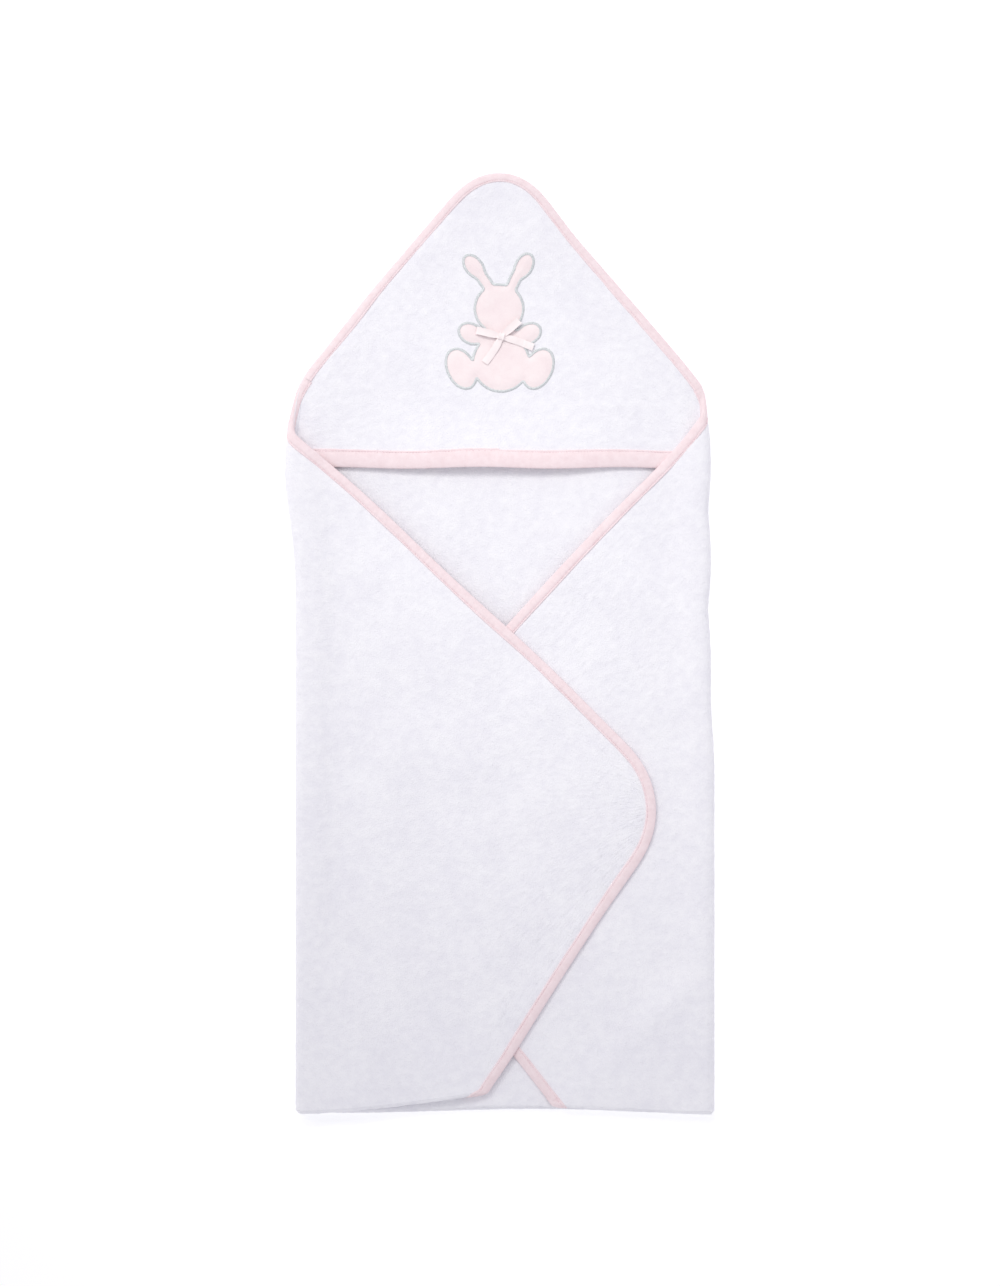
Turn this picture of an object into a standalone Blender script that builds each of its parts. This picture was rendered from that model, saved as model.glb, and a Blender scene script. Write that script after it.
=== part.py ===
"""Hooded baby towel, folded flat: a square of terry with its corners turned in, a hood across one corner,
bias binding round every edge, a rabbit applique with a satin-stitched outline, and a small ribbon bow.

Units are metres, +Z is up and the towel lies on Z = 0 with the hood towards +Y. Each layer of cloth has its
own level. Cloth that folds is flat panels with a hinge line at each fold, and a roll of cloth beside it.
"""

import math

import bmesh
import bpy
from mathutils import Matrix, Vector

MM = 0.001
GAP = 0.3 * MM

# Cloth, binding tape and thread
TERRY = 2.2 * MM
LIP = 1.0 * MM  # terry pressed flat inside its binding
TAPE = 0.5 * MM
BINDING_WIDTH = 8.0 * MM
BAND_WIDTH = 15.0 * MM
THREAD_HEIGHT = 0.25 * MM
THREAD_WIDTH = 0.5 * MM
THREAD_INSET = 1.2 * MM  # from the binding's inner edge

# Levels: the middle of each layer of cloth
LAYER_GAP = 0.35 * MM
BOUND_HALF = LIP / 2 + GAP + TAPE
LAYER_PITCH = max(TERRY, 2 * BOUND_HALF) + GAP + THREAD_HEIGHT + LAYER_GAP
LIP_LIFT = 0.2 * MM  # keeps the back panel's lip above the tape that wraps it
BACK_LEVEL = TERRY / 2
FIRST_LEVEL = BOUND_HALF
LEVELS = [BACK_LEVEL] + [FIRST_LEVEL + LAYER_PITCH * k for k in range(1, 5)]
BACK, HOOD, RIGHT_INNER, RIGHT, LEFT = LEVELS
BOTTOM = HOOD
LEFT_INNER = RIGHT

# The folded bundle
FOLDED_WIDTH = 356.5 * MM
BOTTOM_EDGE = -398.5 * MM
TIP_X = -3.4 * MM
TIP_Y = 422.0 * MM  # where the hood's two edges would meet, before the tip is rounded
TIP_RADIUS = 47.0 * MM
HOOD_SLOPE_LEFT = 1.186
HOOD_SLOPE_RIGHT = 1.157

# Where each side flap's edges run: its outer corner, and where its lower edge meets the bottom fold
FLAP_RADIUS = 78.0 * MM
LEFT_CORNER = (153.5 * MM, -132.0 * MM)
LEFT_FOOT_X = -23.5 * MM
LEFT_SLOPE = 0.952
RIGHT_CORNER = (-155.0 * MM, -147.0 * MM)
RIGHT_FOOT_X = 41.5 * MM
RIGHT_SLOPE = 1.04
BOTTOM_SLOPE = 0.947  # of the bottom corner's edges
BOTTOM_RADIUS = 62.0 * MM

# The hood's front edge, and the part of it that lifts
BAND_Y = 149.0 * MM
LIFT_APEX_Y = 208.0 * MM
LIFT_LEFT_X = -137.0 * MM
LIFT_RIGHT_X = 124.0 * MM
LIFT_REST_ANGLE = math.radians(6.0)
LIFT_GAP = 0.9 * MM  # lets the lifting part's upper face tip back over its hinge

# Roll radii follow from the levels that each roll joins
LEFT_ROLL = (LEFT - BACK) / 2
RIGHT_ROLL = (RIGHT - BACK) / 2
BOTTOM_ROLL = (BOTTOM - BACK) / 2
LEFT_X = -FOLDED_WIDTH / 2 + LEFT_ROLL + TERRY / 2
RIGHT_X = FOLDED_WIDTH / 2 - RIGHT_ROLL - TERRY / 2
BOTTOM_Y = BOTTOM_EDGE + BOTTOM_ROLL + TERRY / 2
ROLL_STEPS = 12
ARC_STEPS = 12

# Hinge lines stand a little outside the flat panels, within their rolls
HINGE_OUT = 4.0 * MM
LEFT_HINGE = Vector((LEFT_X - HINGE_OUT, 0, (LEFT + FIRST_LEVEL) / 2))
RIGHT_HINGE = Vector((RIGHT_X + HINGE_OUT, 0, (RIGHT + FIRST_LEVEL) / 2))
BOTTOM_HINGE_Y = BOTTOM_Y - math.pi * BOTTOM_ROLL / 2
BOTTOM_HINGE = Vector((0, BOTTOM_HINGE_Y, (BOTTOM + FIRST_LEVEL) / 2))
LEFT_CORNER_HINGE = Vector((0, BOTTOM_HINGE_Y, (LEFT + LEFT_INNER) / 2))
RIGHT_CORNER_HINGE = Vector((0, BOTTOM_HINGE_Y, (RIGHT + RIGHT_INNER) / 2))
HOOD_HINGE = Vector((0, LIFT_APEX_Y, HOOD))
FIXED = Vector((0, 0, 0))

# Rabbit applique: ellipses as (x, y, half length, half width, turn in degrees), from its own centre
RABBIT_CENTRE = Vector((-4.5 * MM, 270.5 * MM))
RABBIT_THICKNESS = 1.0 * MM
RABBIT_HEAD_AND_BODY = [(-0.6, 13.9, 20.6, 20.4, 0), (1.1, -32.3, 24.0, 24.3, 0), (0.3, -11.0, 20.0, 9.0, 0)]
RABBIT_LIMBS = [(24.6, -7.4, 11.0, 8.2, 30), (32.8, -37.3, 18.0, 11.6, 65)]  # and the same on the other side
RABBIT_EARS = [
    (-22.0, 49.6, 11.5, 7.0, 129),
    (-13.0, 37.6, 12.0, 4.4, 126),
    (20.6, 50.0, 11.5, 7.0, 62),
    (12.4, 37.6, 12.0, 4.3, 67),
]
ELLIPSE_STEPS = 32
SATIN_WIDTH = 1.7 * MM
SATIN_HEIGHT = 1.3 * MM

# Bow: ribbon width, and each arm as (turn in degrees, length)
BOW_CENTRE = Vector((-3.0 * MM, 260.4 * MM))
RIBBON_WIDTH = 6.3 * MM
RIBBON = 0.35 * MM
LOOPS = {"bow_left_loop": (166, 22.0 * MM), "bow_right_loop": (42, 20.5 * MM)}
TAILS = {"bow_left_tail": (237, 26.5 * MM), "bow_right_tail": (-19, 28.5 * MM)}
LOOP_HEIGHT = 2.6 * MM
KNOT = (5.6 * MM, 7.4 * MM, 3.2 * MM)

# Care label, blank, sewn under the bottom corner's binding
LABEL_SIZE = (22.0 * MM, 34.0 * MM)
LABEL_THICKNESS = 0.3 * MM
LABEL_X = 60.0 * MM

WHITE = (0.93, 0.93, 0.95)
PINK = (0.95, 0.80, 0.82)
PALE_PINK = (0.96, 0.85, 0.87)
RIBBON_PINK = (0.98, 0.93, 0.93)
THREAD_PINK = (0.94, 0.76, 0.79)
GREY = (0.80, 0.82, 0.82)


def clear_scene():
    for obj in list(bpy.data.objects):
        bpy.data.objects.remove(obj)


def make_material(name, colour, roughness):
    material = bpy.data.materials.new(name)
    material.use_nodes = True
    shader = material.node_tree.nodes["Principled BSDF"]
    shader.inputs["Base Color"].default_value = (*colour, 1.0)
    shader.inputs["Roughness"].default_value = roughness
    shader.inputs["Metallic"].default_value = 0.0
    return material


def make_hinge(name, place, tilt=0.0):
    """An empty on a fold's axis, which the moving pieces hang from."""
    empty = bpy.data.objects.new(name, None)
    empty.location = place
    empty.rotation_euler.x = tilt
    bpy.context.scene.collection.objects.link(empty)
    return empty


def add_object(name, mesh, material, hinge):
    obj = bpy.data.objects.new(name, mesh)
    obj.parent = hinge
    mesh.materials.append(material)
    bpy.context.scene.collection.objects.link(obj)
    return obj


def mesh_of_loops(name, loops, closed_across, origin):
    """Joins loops of points into one closed skin, each loop to the next. With closed_across, the last loop
    joins the first and the loops' two ends are capped. Without it, the first and last loops are capped."""
    work = bmesh.new()
    rows = [[work.verts.new(Vector(p) - origin) for p in loop] for loop in loops]
    pairs = list(zip(rows, rows[1:]))
    if closed_across:
        pairs.append((rows[-1], rows[0]))
    count = len(rows[0])
    turns = count - 1 if closed_across else count
    for low, high in pairs:
        for i in range(turns):
            j = (i + 1) % count
            work.faces.new((low[i], low[j], high[j], high[i]))
    if closed_across:
        work.faces.new([row[0] for row in rows])
        work.faces.new([row[-1] for row in rows])
    else:
        work.faces.new(rows[0])
        work.faces.new(rows[-1])
    bmesh.ops.remove_doubles(work, verts=work.verts, dist=GAP / 30)
    bmesh.ops.dissolve_degenerate(work, edges=work.edges, dist=GAP / 30)
    bmesh.ops.recalc_face_normals(work, faces=work.faces)
    mesh = bpy.data.meshes.new(name)
    work.to_mesh(mesh)
    work.free()
    return mesh


def rounded_corner(corner, before, after, radius):
    """Points round a corner where the direction turns from before to after."""
    turn = before.angle(after)
    if radius <= 0:
        return [corner] * (ARC_STEPS + 1)
    reach = radius * math.tan(turn / 2)
    start = corner - before * reach
    inward = Vector((-before.y, before.x))
    centre = start + inward * radius
    spokes = [Matrix.Rotation(turn * k / ARC_STEPS, 2) @ -inward for k in range(ARC_STEPS + 1)]
    return [centre + spoke * radius for spoke in spokes]


def crossing(line, other):
    """Where two lines, each a point and a direction, cross."""
    (a, along), (b, across) = line, other
    ahead = b - a
    t = (ahead.x * across.y - ahead.y * across.x) / (along.x * across.y - along.y * across.x)
    return a + along * t


def outline(corners, widths, radii):
    """A flat shape: its corners counter-clockwise, the width of the binding on the edge that follows each
    corner (0 where the cloth runs on into a fold), and each corner's radius."""
    return [Vector(c) for c in corners], widths, radii


def ring(shape, depth_of):
    """The points at each corner, once each edge has moved in by depth_of(the width of its binding)."""
    corners, widths, radii = shape
    lines = []
    for i, corner in enumerate(corners):
        along = (corners[(i + 1) % len(corners)] - corner).normalized()
        inward = Vector((-along.y, along.x))
        lines.append((corner + inward * depth_of(widths[i]), along))
    found = []
    for i, radius in enumerate(radii):
        corner = crossing(lines[i - 1], lines[i])
        if radius:
            bend = radius - depth_of(widths[i])
            found.append(rounded_corner(corner, lines[i - 1][1], lines[i][1], bend))
        else:
            found.append([corner])
    return found


def at_level(by_corner, level):
    return [(point.x, point.y, level) for points in by_corner for point in points]


def add_panel(name, shape, level, material, hinge, lip_level=None):
    """A sheet of terry, with its bound edges pressed to a thin lip that the binding wraps."""
    lip_level = level if lip_level is None else lip_level
    whole = ring(shape, lambda width: width + GAP if width else 0.0)
    lip = ring(shape, lambda width: TAPE + GAP if width else 0.0)
    steps = [
        (whole, level - TERRY / 2),
        (whole, lip_level - LIP / 2),
        (lip, lip_level - LIP / 2),
        (lip, lip_level + LIP / 2),
        (whole, lip_level + LIP / 2),
        (whole, level + TERRY / 2),
    ]
    loops = [at_level(by_corner, z) for by_corner, z in steps]
    return add_object(name, mesh_of_loops(name, loops, False, hinge_place(hinge)), material, hinge)


def hinge_place(hinge):
    return hinge.location if hinge else FIXED


def add_sweep(name, shape, first, last, profile, material, hinge):
    """Runs a closed profile of (depth, level) points along the outline from corner first to corner last."""
    order = range(first, last + 1) if last > first else [*range(first, len(shape[0])), *range(last + 1)]
    loops = []
    for depth, level in profile:
        by_corner = ring(shape, lambda width, depth=depth: depth if width else 0.0)
        loops.append(at_level([by_corner[i] for i in order], level))
    return add_object(name, mesh_of_loops(name, loops, True, hinge_place(hinge)), material, hinge)


def add_binding(name, shape, first, last, width, low, high, material, hinge):
    """Tape folded over a cloth edge: a channel that is open towards the cloth, from the lip at level low to
    the lip at level high."""
    inner_low, inner_high = low - LIP / 2 - GAP, high + LIP / 2 + GAP
    outer_low, outer_high = inner_low - TAPE, inner_high + TAPE
    profile = [
        (0.0, outer_low),
        (width, outer_low),
        (width, inner_low),
        (TAPE, inner_low),
        (TAPE, inner_high),
        (width, inner_high),
        (width, outer_high),
        (0.0, outer_high),
    ]
    return add_sweep(name, shape, first, last, profile, material, hinge)


def add_stitching(name, shape, first, last, width, high, material, hinge):
    """The run of thread that lies on a binding's upper face, near its inner edge."""
    inner = width - THREAD_INSET
    outer = inner - THREAD_WIDTH
    low = high + BOUND_HALF + GAP
    profile = [(outer, low), (inner, low), (inner, low + THREAD_HEIGHT), (outer, low + THREAD_HEIGHT)]
    return add_sweep(name, shape, first, last, profile, material, hinge)


def add_prism(name, corners, low, high, material, hinge):
    loops = [[(x, y, z) for x, y in corners] for z in (low, high)]
    return add_object(name, mesh_of_loops(name, loops, False, hinge_place(hinge)), material, hinge)


def add_roll(name, centre, outward, ends, levels, material):
    """Cloth turning half round at a fold. The centre is a point on the roll's axis, outward its flat
    direction, ends its near and far end, each at the lower and the upper level, and levels those two."""
    low, high = levels
    radius, middle = (high - low) / 2, (high + low) / 2
    along = Vector((-outward.y, outward.x))
    loops = []
    for step in range(ROLL_STEPS + 1):
        share = step / ROLL_STEPS
        angle = math.pi * (share - 0.5)
        near, far = (a + (b - a) * share for a, b in ends)
        loop = []
        for reach, end in (
            (radius + TERRY / 2, near),
            (radius + TERRY / 2, far),
            (radius - TERRY / 2, far),
            (radius - TERRY / 2, near),
        ):
            flat = centre + outward * (GAP / 2 + reach * math.cos(angle)) + along * end
            loop.append((flat.x, flat.y, middle + reach * math.sin(angle)))
        loops.append(loop)
    return add_object(name, mesh_of_loops(name, loops, False, FIXED), material, None)


def hood_edge_y(x):
    slope = HOOD_SLOPE_LEFT if x < TIP_X else HOOD_SLOPE_RIGHT
    return TIP_Y - abs(x - TIP_X) * slope


def left_edge_y(x):
    return LEFT_CORNER[1] + (LEFT_CORNER[0] - x) * LEFT_SLOPE


def right_edge_y(x):
    return RIGHT_CORNER[1] + (x - RIGHT_CORNER[0]) * RIGHT_SLOPE


def left_edge_x(y):
    return LEFT_CORNER[0] - (y - LEFT_CORNER[1]) / LEFT_SLOPE


def right_edge_x(y):
    return RIGHT_CORNER[0] + (y - RIGHT_CORNER[1]) / RIGHT_SLOPE


CUT = GAP / 2  # half the gap between two stretches of one cloth
LEFT_IN, RIGHT_IN, BOTTOM_IN = LEFT_X + CUT, RIGHT_X - CUT, BOTTOM_Y + CUT


def opened_x(x, hinge):
    """Where a point of a side flap lies once the flap is open."""
    return 2 * hinge.x - x


def bottom_edge_y(x, foot_x, hinge):
    """The bottom corner's bound edge, folded up, at an x of the open towel."""
    return BOTTOM_IN + abs(opened_x(foot_x, hinge) - x) * BOTTOM_SLOPE


def build_back(cloth, tape, thread):
    shape = outline(
        [
            (RIGHT_IN, hood_edge_y(RIGHT_IN)),
            (TIP_X, TIP_Y),
            (LEFT_IN, hood_edge_y(LEFT_IN)),
            (LEFT_IN, BOTTOM_IN),
            (RIGHT_IN, BOTTOM_IN),
        ],
        [BINDING_WIDTH, BINDING_WIDTH, 0, 0, 0],
        [0, TIP_RADIUS, 0, 0, 0],
    )
    lip = BACK + LIP_LIFT
    add_panel("back_panel", shape, BACK, cloth, None, lip)
    add_binding("hood_binding", shape, 0, 2, BINDING_WIDTH, lip, HOOD, tape, None)
    add_stitching("hood_stitching", shape, 0, 2, BINDING_WIDTH, HOOD, thread, None)


def tip_arc(sign):
    """Points round the towel's top corner, from its middle to where the edge on that side runs straight."""
    tip = Vector((TIP_X, TIP_Y))
    up, down = Vector((1, HOOD_SLOPE_LEFT)).normalized(), Vector((1, -HOOD_SLOPE_RIGHT)).normalized()
    inward_left, inward_right = Vector((up.y, -up.x)), Vector((down.y, -down.x))
    centre = crossing((tip + inward_left * TIP_RADIUS, up), (tip + inward_right * TIP_RADIUS, down))
    first = math.asin((TIP_X + sign * CUT - centre.x) / TIP_RADIUS)
    last = math.atan(HOOD_SLOPE_RIGHT) if sign > 0 else -math.atan(HOOD_SLOPE_LEFT)
    angles = [first + (last - first) * k / ARC_STEPS for k in range(ARC_STEPS + 1)]
    return [centre + Vector((math.sin(a), math.cos(a))) * TIP_RADIUS for a in angles]


def hood_half(sign):
    """The outline of one fixed half of the hood: its corners and bindings, and where its band runs."""
    fold_x, lift_x = (RIGHT_IN, LIFT_RIGHT_X) if sign > 0 else (LEFT_IN, LIFT_LEFT_X)
    arc = tip_arc(sign)
    apex = (TIP_X + sign * CUT, LIFT_APEX_Y + CUT)
    corners = [*arc, (fold_x, hood_edge_y(fold_x)), (fold_x, BAND_Y), (lift_x + sign * CUT, BAND_Y), apex]
    widths = [BINDING_WIDTH] * len(arc) + [0, BAND_WIDTH, 0, 0]
    first = len(arc) + 1
    if sign > 0:
        corners.reverse()
        widths = [0, BAND_WIDTH, 0] + [BINDING_WIDTH] * len(arc) + [0]
        first = 1
    return outline(corners, widths, [0] * len(corners)), first


def build_hood(cloth, tape, thread):
    """Two fixed halves of the hood, and their ends of the band, which the side flaps lie over."""
    for side, sign in (("left", -1), ("right", 1)):
        shape, first = hood_half(sign)
        add_panel(f"hood_{side}", shape, HOOD, cloth, None)
        add_binding(f"hood_band_{side}", shape, first, first + 1, BAND_WIDTH, HOOD, HOOD, tape, None)
        add_stitching(f"hood_band_{side}_stitching", shape, first, first + 1, BAND_WIDTH, HOOD, thread, None)


def build_hood_front(cloth, tape, thread):
    """The middle of the hood's front edge, which lifts to open the hood."""
    hinge = make_hinge("hood_hinge", HOOD_HINGE, -LIFT_REST_ANGLE)
    shape = outline(
        [(TIP_X, LIFT_APEX_Y - LIFT_GAP), (LIFT_LEFT_X + CUT, BAND_Y), (LIFT_RIGHT_X - CUT, BAND_Y)],
        [0, BAND_WIDTH, 0],
        [0, 0, 0],
    )
    add_panel("hood_front", shape, HOOD, cloth, hinge)
    add_binding("hood_band", shape, 1, 2, BAND_WIDTH, HOOD, HOOD, tape, hinge)
    add_stitching("hood_band_stitching", shape, 1, 2, BAND_WIDTH, HOOD, thread, hinge)


def build_side(side, cloth, tape, thread):
    """One side flap, the end of the hood folded in with it, and the corner of the bottom flap inside it."""
    left = side == "left"
    level, inner = (LEFT, LEFT_INNER) if left else (RIGHT, RIGHT_INNER)
    fold_x, foot_x = (LEFT_IN, LEFT_FOOT_X) if left else (RIGHT_IN, RIGHT_FOOT_X)
    tip = LEFT_CORNER if left else RIGHT_CORNER
    edge_y, edge_x = (left_edge_y, left_edge_x) if left else (right_edge_y, right_edge_x)
    place = LEFT_HINGE if left else RIGHT_HINGE
    hinge = make_hinge(f"{side}_hinge", place)
    corner_hinge = make_hinge(f"{side}_corner_hinge", LEFT_CORNER_HINGE if left else RIGHT_CORNER_HINGE)
    flap = [(fold_x, edge_y(fold_x)), (fold_x, BOTTOM_IN), (foot_x, BOTTOM_IN), tip]
    widths, radii, first, last = [0, 0, BINDING_WIDTH, BINDING_WIDTH], [0, 0, 0, FLAP_RADIUS], 2, 0
    if not left:
        flap = [flap[0], flap[3], flap[2], flap[1]]
        widths, radii, first, last = [BINDING_WIDTH, BINDING_WIDTH, 0, 0], [0, FLAP_RADIUS, 0, 0], 0, 2
    shape = outline(flap, widths, radii)
    add_panel(f"{side}_flap", shape, level, cloth, hinge)
    add_binding(f"{side}_binding", shape, first, last, BINDING_WIDTH, level, level, tape, hinge)
    add_stitching(f"{side}_stitching", shape, first, last, BINDING_WIDTH, level, thread, hinge)

    high = level - BOUND_HALF - GAP
    low = high - TERRY
    split_y = BAND_Y + BAND_WIDTH
    top = (fold_x, edge_y(fold_x))
    cloth_corners = [top, (fold_x, split_y + CUT), (edge_x(split_y + CUT), split_y + CUT)]
    band_corners = [
        (fold_x, split_y - CUT),
        (fold_x, BAND_Y),
        (edge_x(BAND_Y), BAND_Y),
        (edge_x(split_y - CUT), split_y - CUT),
    ]
    add_prism(f"hood_corner_{side}", cloth_corners, low, high, cloth, hinge)
    add_prism(f"hood_band_end_{side}", band_corners, low, high, tape, hinge)

    corner_y = bottom_edge_y(opened_x(fold_x, place), foot_x, place)
    corner = [(fold_x, corner_y), (fold_x, BOTTOM_IN), (foot_x, BOTTOM_IN)]
    bound = [0, 0, BINDING_WIDTH]
    first, last = 2, 0
    if not left:
        corner = [corner[0], corner[2], corner[1]]
        bound = [BINDING_WIDTH, 0, 0]
        first, last = 0, 1
    shape = outline(corner, bound, [0, 0, 0])
    add_panel(f"{side}_bottom_corner", shape, inner, cloth, corner_hinge)
    add_binding(f"{side}_corner_binding", shape, first, last, BINDING_WIDTH, inner, inner, tape, corner_hinge)
    add_stitching(f"{side}_corner_stitching", shape, first, last, BINDING_WIDTH, inner, thread, corner_hinge)


def build_bottom(cloth, tape, thread, label):
    """The towel's bottom corner, folded up inside the side flaps."""
    hinge = make_hinge("bottom_hinge", BOTTOM_HINGE)
    left_y = bottom_edge_y(LEFT_IN, LEFT_FOOT_X, LEFT_HINGE)
    right_y = bottom_edge_y(RIGHT_IN, RIGHT_FOOT_X, RIGHT_HINGE)
    up, down = Vector((1, BOTTOM_SLOPE)).normalized(), Vector((1, -BOTTOM_SLOPE)).normalized()
    tip = crossing((Vector((LEFT_IN, left_y)), up), (Vector((RIGHT_IN, right_y)), down))
    shape = outline(
        [(RIGHT_IN, right_y), tip, (LEFT_IN, left_y), (LEFT_IN, BOTTOM_IN), (RIGHT_IN, BOTTOM_IN)],
        [BINDING_WIDTH, BINDING_WIDTH, 0, 0, 0],
        [0, BOTTOM_RADIUS, 0, 0, 0],
    )
    add_panel("bottom_flap", shape, BOTTOM, cloth, hinge)
    add_binding("bottom_binding", shape, 0, 2, BINDING_WIDTH, BOTTOM, BOTTOM, tape, hinge)
    add_stitching("bottom_stitching", shape, 0, 2, BINDING_WIDTH, BOTTOM, thread, hinge)
    wide, long = LABEL_SIZE
    top_y = right_y + (RIGHT_IN - LABEL_X - wide) * BOTTOM_SLOPE - BINDING_WIDTH / 2
    high = BOTTOM - BOUND_HALF - GAP
    add_prism(
        "care_label",
        [
            (LABEL_X, top_y - long),
            (LABEL_X + wide, top_y - long),
            (LABEL_X + wide, top_y),
            (LABEL_X, top_y),
        ],
        high - LABEL_THICKNESS,
        high,
        label,
        hinge,
    )


def build_rolls(cloth):
    """The cloth that turns round each fold."""
    left_ends = ((-BOTTOM_IN, -BOTTOM_IN), (-hood_edge_y(LEFT_X), -left_edge_y(LEFT_X)))
    right_ends = ((BOTTOM_IN, BOTTOM_IN), (hood_edge_y(RIGHT_X), right_edge_y(RIGHT_X)))
    add_roll("left_fold", Vector((LEFT_X, 0)), Vector((-1, 0)), left_ends, (BACK, LEFT), cloth)
    add_roll("right_fold", Vector((RIGHT_X, 0)), Vector((1, 0)), right_ends, (BACK, RIGHT), cloth)
    down = Vector((0, -1))
    across = ((LEFT_IN, LEFT_IN), (RIGHT_IN, RIGHT_IN))
    add_roll("bottom_fold", Vector((0, BOTTOM_Y)), down, across, (BACK, BOTTOM), cloth)
    left_across = ((LEFT_IN, LEFT_IN), (LEFT_FOOT_X, LEFT_FOOT_X))
    right_across = ((RIGHT_FOOT_X, RIGHT_FOOT_X), (RIGHT_IN, RIGHT_IN))
    add_roll("left_bottom_fold", Vector((0, BOTTOM_Y)), down, left_across, (LEFT_INNER, LEFT), cloth)
    add_roll("right_bottom_fold", Vector((0, BOTTOM_Y)), down, right_across, (RIGHT_INNER, RIGHT), cloth)


def ellipse_piece(name, ellipse, grow, low, high):
    x, y, long, short, turn = ellipse
    spin = Matrix.Rotation(math.radians(turn), 2)
    centre = RABBIT_CENTRE + Vector((x, y)) * MM
    corners = []
    for k in range(ELLIPSE_STEPS):
        angle = 2 * math.pi * k / ELLIPSE_STEPS
        spoke = Vector(((long * MM + grow) * math.cos(angle), (short * MM + grow) * math.sin(angle)))
        corners.append(centre + spin @ spoke)
    loops = [[(p.x, p.y, z) for p in corners] for z in (low, high)]
    return bpy.data.objects.new(name, mesh_of_loops(name, loops, False, FIXED))


def hide_helper(obj):
    obj.hide_render = True
    obj.display_type = "WIRE"


def rabbit_ellipses():
    limbs = [(s * x, y, long, short, s * turn) for x, y, long, short, turn in RABBIT_LIMBS for s in (-1, 1)]
    return RABBIT_HEAD_AND_BODY + RABBIT_EARS + limbs


def rabbit_shape(name, grow, low, high):
    """The rabbit as one body: its head, joined with its other ellipses."""
    whole = None
    for number, ellipse in enumerate(rabbit_ellipses()):
        piece = ellipse_piece(f"{name}_piece_{number}", ellipse, grow, low, high)
        bpy.context.scene.collection.objects.link(piece)
        if whole is None:
            whole = piece
            whole.name = name
            continue
        hide_helper(piece)
        union = whole.modifiers.new(f"join_{number}", "BOOLEAN")
        union.operation = "UNION"
        union.object = piece
    return whole


def build_rabbit(pile, satin):
    low = HOOD + TERRY / 2 + GAP
    rabbit = rabbit_shape("rabbit_applique", 0.0, low, low + RABBIT_THICKNESS)
    rabbit.data.materials.append(pile)
    ring_inside = rabbit_shape("rabbit_cutter", GAP, low - GAP, low + SATIN_HEIGHT + GAP)
    hide_helper(ring_inside)
    outline_stitch = rabbit_shape("rabbit_satin_stitch", GAP + SATIN_WIDTH, low, low + SATIN_HEIGHT)
    outline_stitch.data.materials.append(satin)
    cut = outline_stitch.modifiers.new("inside", "BOOLEAN")
    cut.operation = "DIFFERENCE"
    cut.object = ring_inside


def turned_strip(name, arm, start, end, profile, ribbon):
    """A ribbon arm that leaves the bow's centre at an angle: profile holds its (distance, height) points."""
    angle = math.radians(arm)
    along = Vector((math.cos(angle), math.sin(angle)))
    across = Vector((-along.y, along.x)) * RIBBON_WIDTH / 2
    loops = []
    for side in (-1, 1):
        flat = [(BOW_CENTRE + along * d + across * side, z) for d, z in profile(start, end)]
        loops.append([(p.x, p.y, z) for p, z in flat])
    return add_object(name, mesh_of_loops(name, loops, False, FIXED), ribbon, None)


def build_bow(ribbon):
    """Two flattened loops, two tails under them, and the knot that holds them."""
    base = HOOD + TERRY / 2 + GAP + SATIN_HEIGHT + GAP
    knot_long, knot_wide, knot_high = KNOT
    start = knot_wide / 2 + GAP
    loop_base = base + RIBBON + GAP

    def tail(near, far):
        return [(near, base), (far, base), (far, base + RIBBON), (near, base + RIBBON)]

    def loop(near, far):
        radius = LOOP_HEIGHT / 2
        middle, steps = loop_base + radius, 8
        turn = [math.pi * (k / steps - 0.5) for k in range(steps + 1)]
        outer = [(far - radius + radius * math.cos(a), middle + radius * math.sin(a)) for a in turn]
        thin = radius - RIBBON
        inner = [(far - radius + thin * math.cos(a), middle + thin * math.sin(a)) for a in reversed(turn)]
        return [(near, loop_base), *outer, (near, loop_base + LOOP_HEIGHT)] + [
            (near, loop_base + LOOP_HEIGHT - RIBBON),
            *inner,
            (near, loop_base + RIBBON),
        ]

    for name, (arm, length) in TAILS.items():
        turned_strip(name, arm, start, length, tail, ribbon)
    for name, (arm, length) in LOOPS.items():
        turned_strip(name, arm, start, length, loop, ribbon)
    turn = Matrix.Rotation(math.radians(10), 2)
    corners = [(-1, -1), (1, -1), (1, 1), (-1, 1)]
    flat = [BOW_CENTRE + turn @ Vector((sx * knot_long / 2, sy * knot_wide / 2)) for sx, sy in corners]
    knot = add_prism("bow_knot", [(p.x, p.y) for p in flat], base, base + knot_high, ribbon, None)
    bevel = knot.modifiers.new("soft_edges", "BEVEL")
    bevel.width = 0.8 * MM
    bevel.segments = 3


def main():
    clear_scene()
    cloth = make_material("terry_white", WHITE, 0.95)
    tape = make_material("binding_pink", PINK, 0.7)
    thread = make_material("thread_pink", THREAD_PINK, 0.6)
    pile = make_material("velour_pink", PALE_PINK, 0.9)
    satin = make_material("satin_thread_grey", GREY, 0.4)
    ribbon = make_material("ribbon_pink", RIBBON_PINK, 0.35)
    label = make_material("label_white", WHITE, 0.5)
    build_back(cloth, tape, thread)
    build_hood(cloth, tape, thread)
    build_hood_front(cloth, tape, thread)
    build_side("right", cloth, tape, thread)
    build_side("left", cloth, tape, thread)
    build_bottom(cloth, tape, thread, label)
    build_rolls(cloth)
    build_rabbit(pile, satin)
    build_bow(ribbon)


main()
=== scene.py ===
"""The looks of the folded hooded baby towel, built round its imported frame.

Every cloth is a grid over its own flat cut. A map bends the cut round its folds and over what lies under it, and
the binding, its stitches and the pile all use the map of the cloth that they are sewn to.
"""
import math

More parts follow.
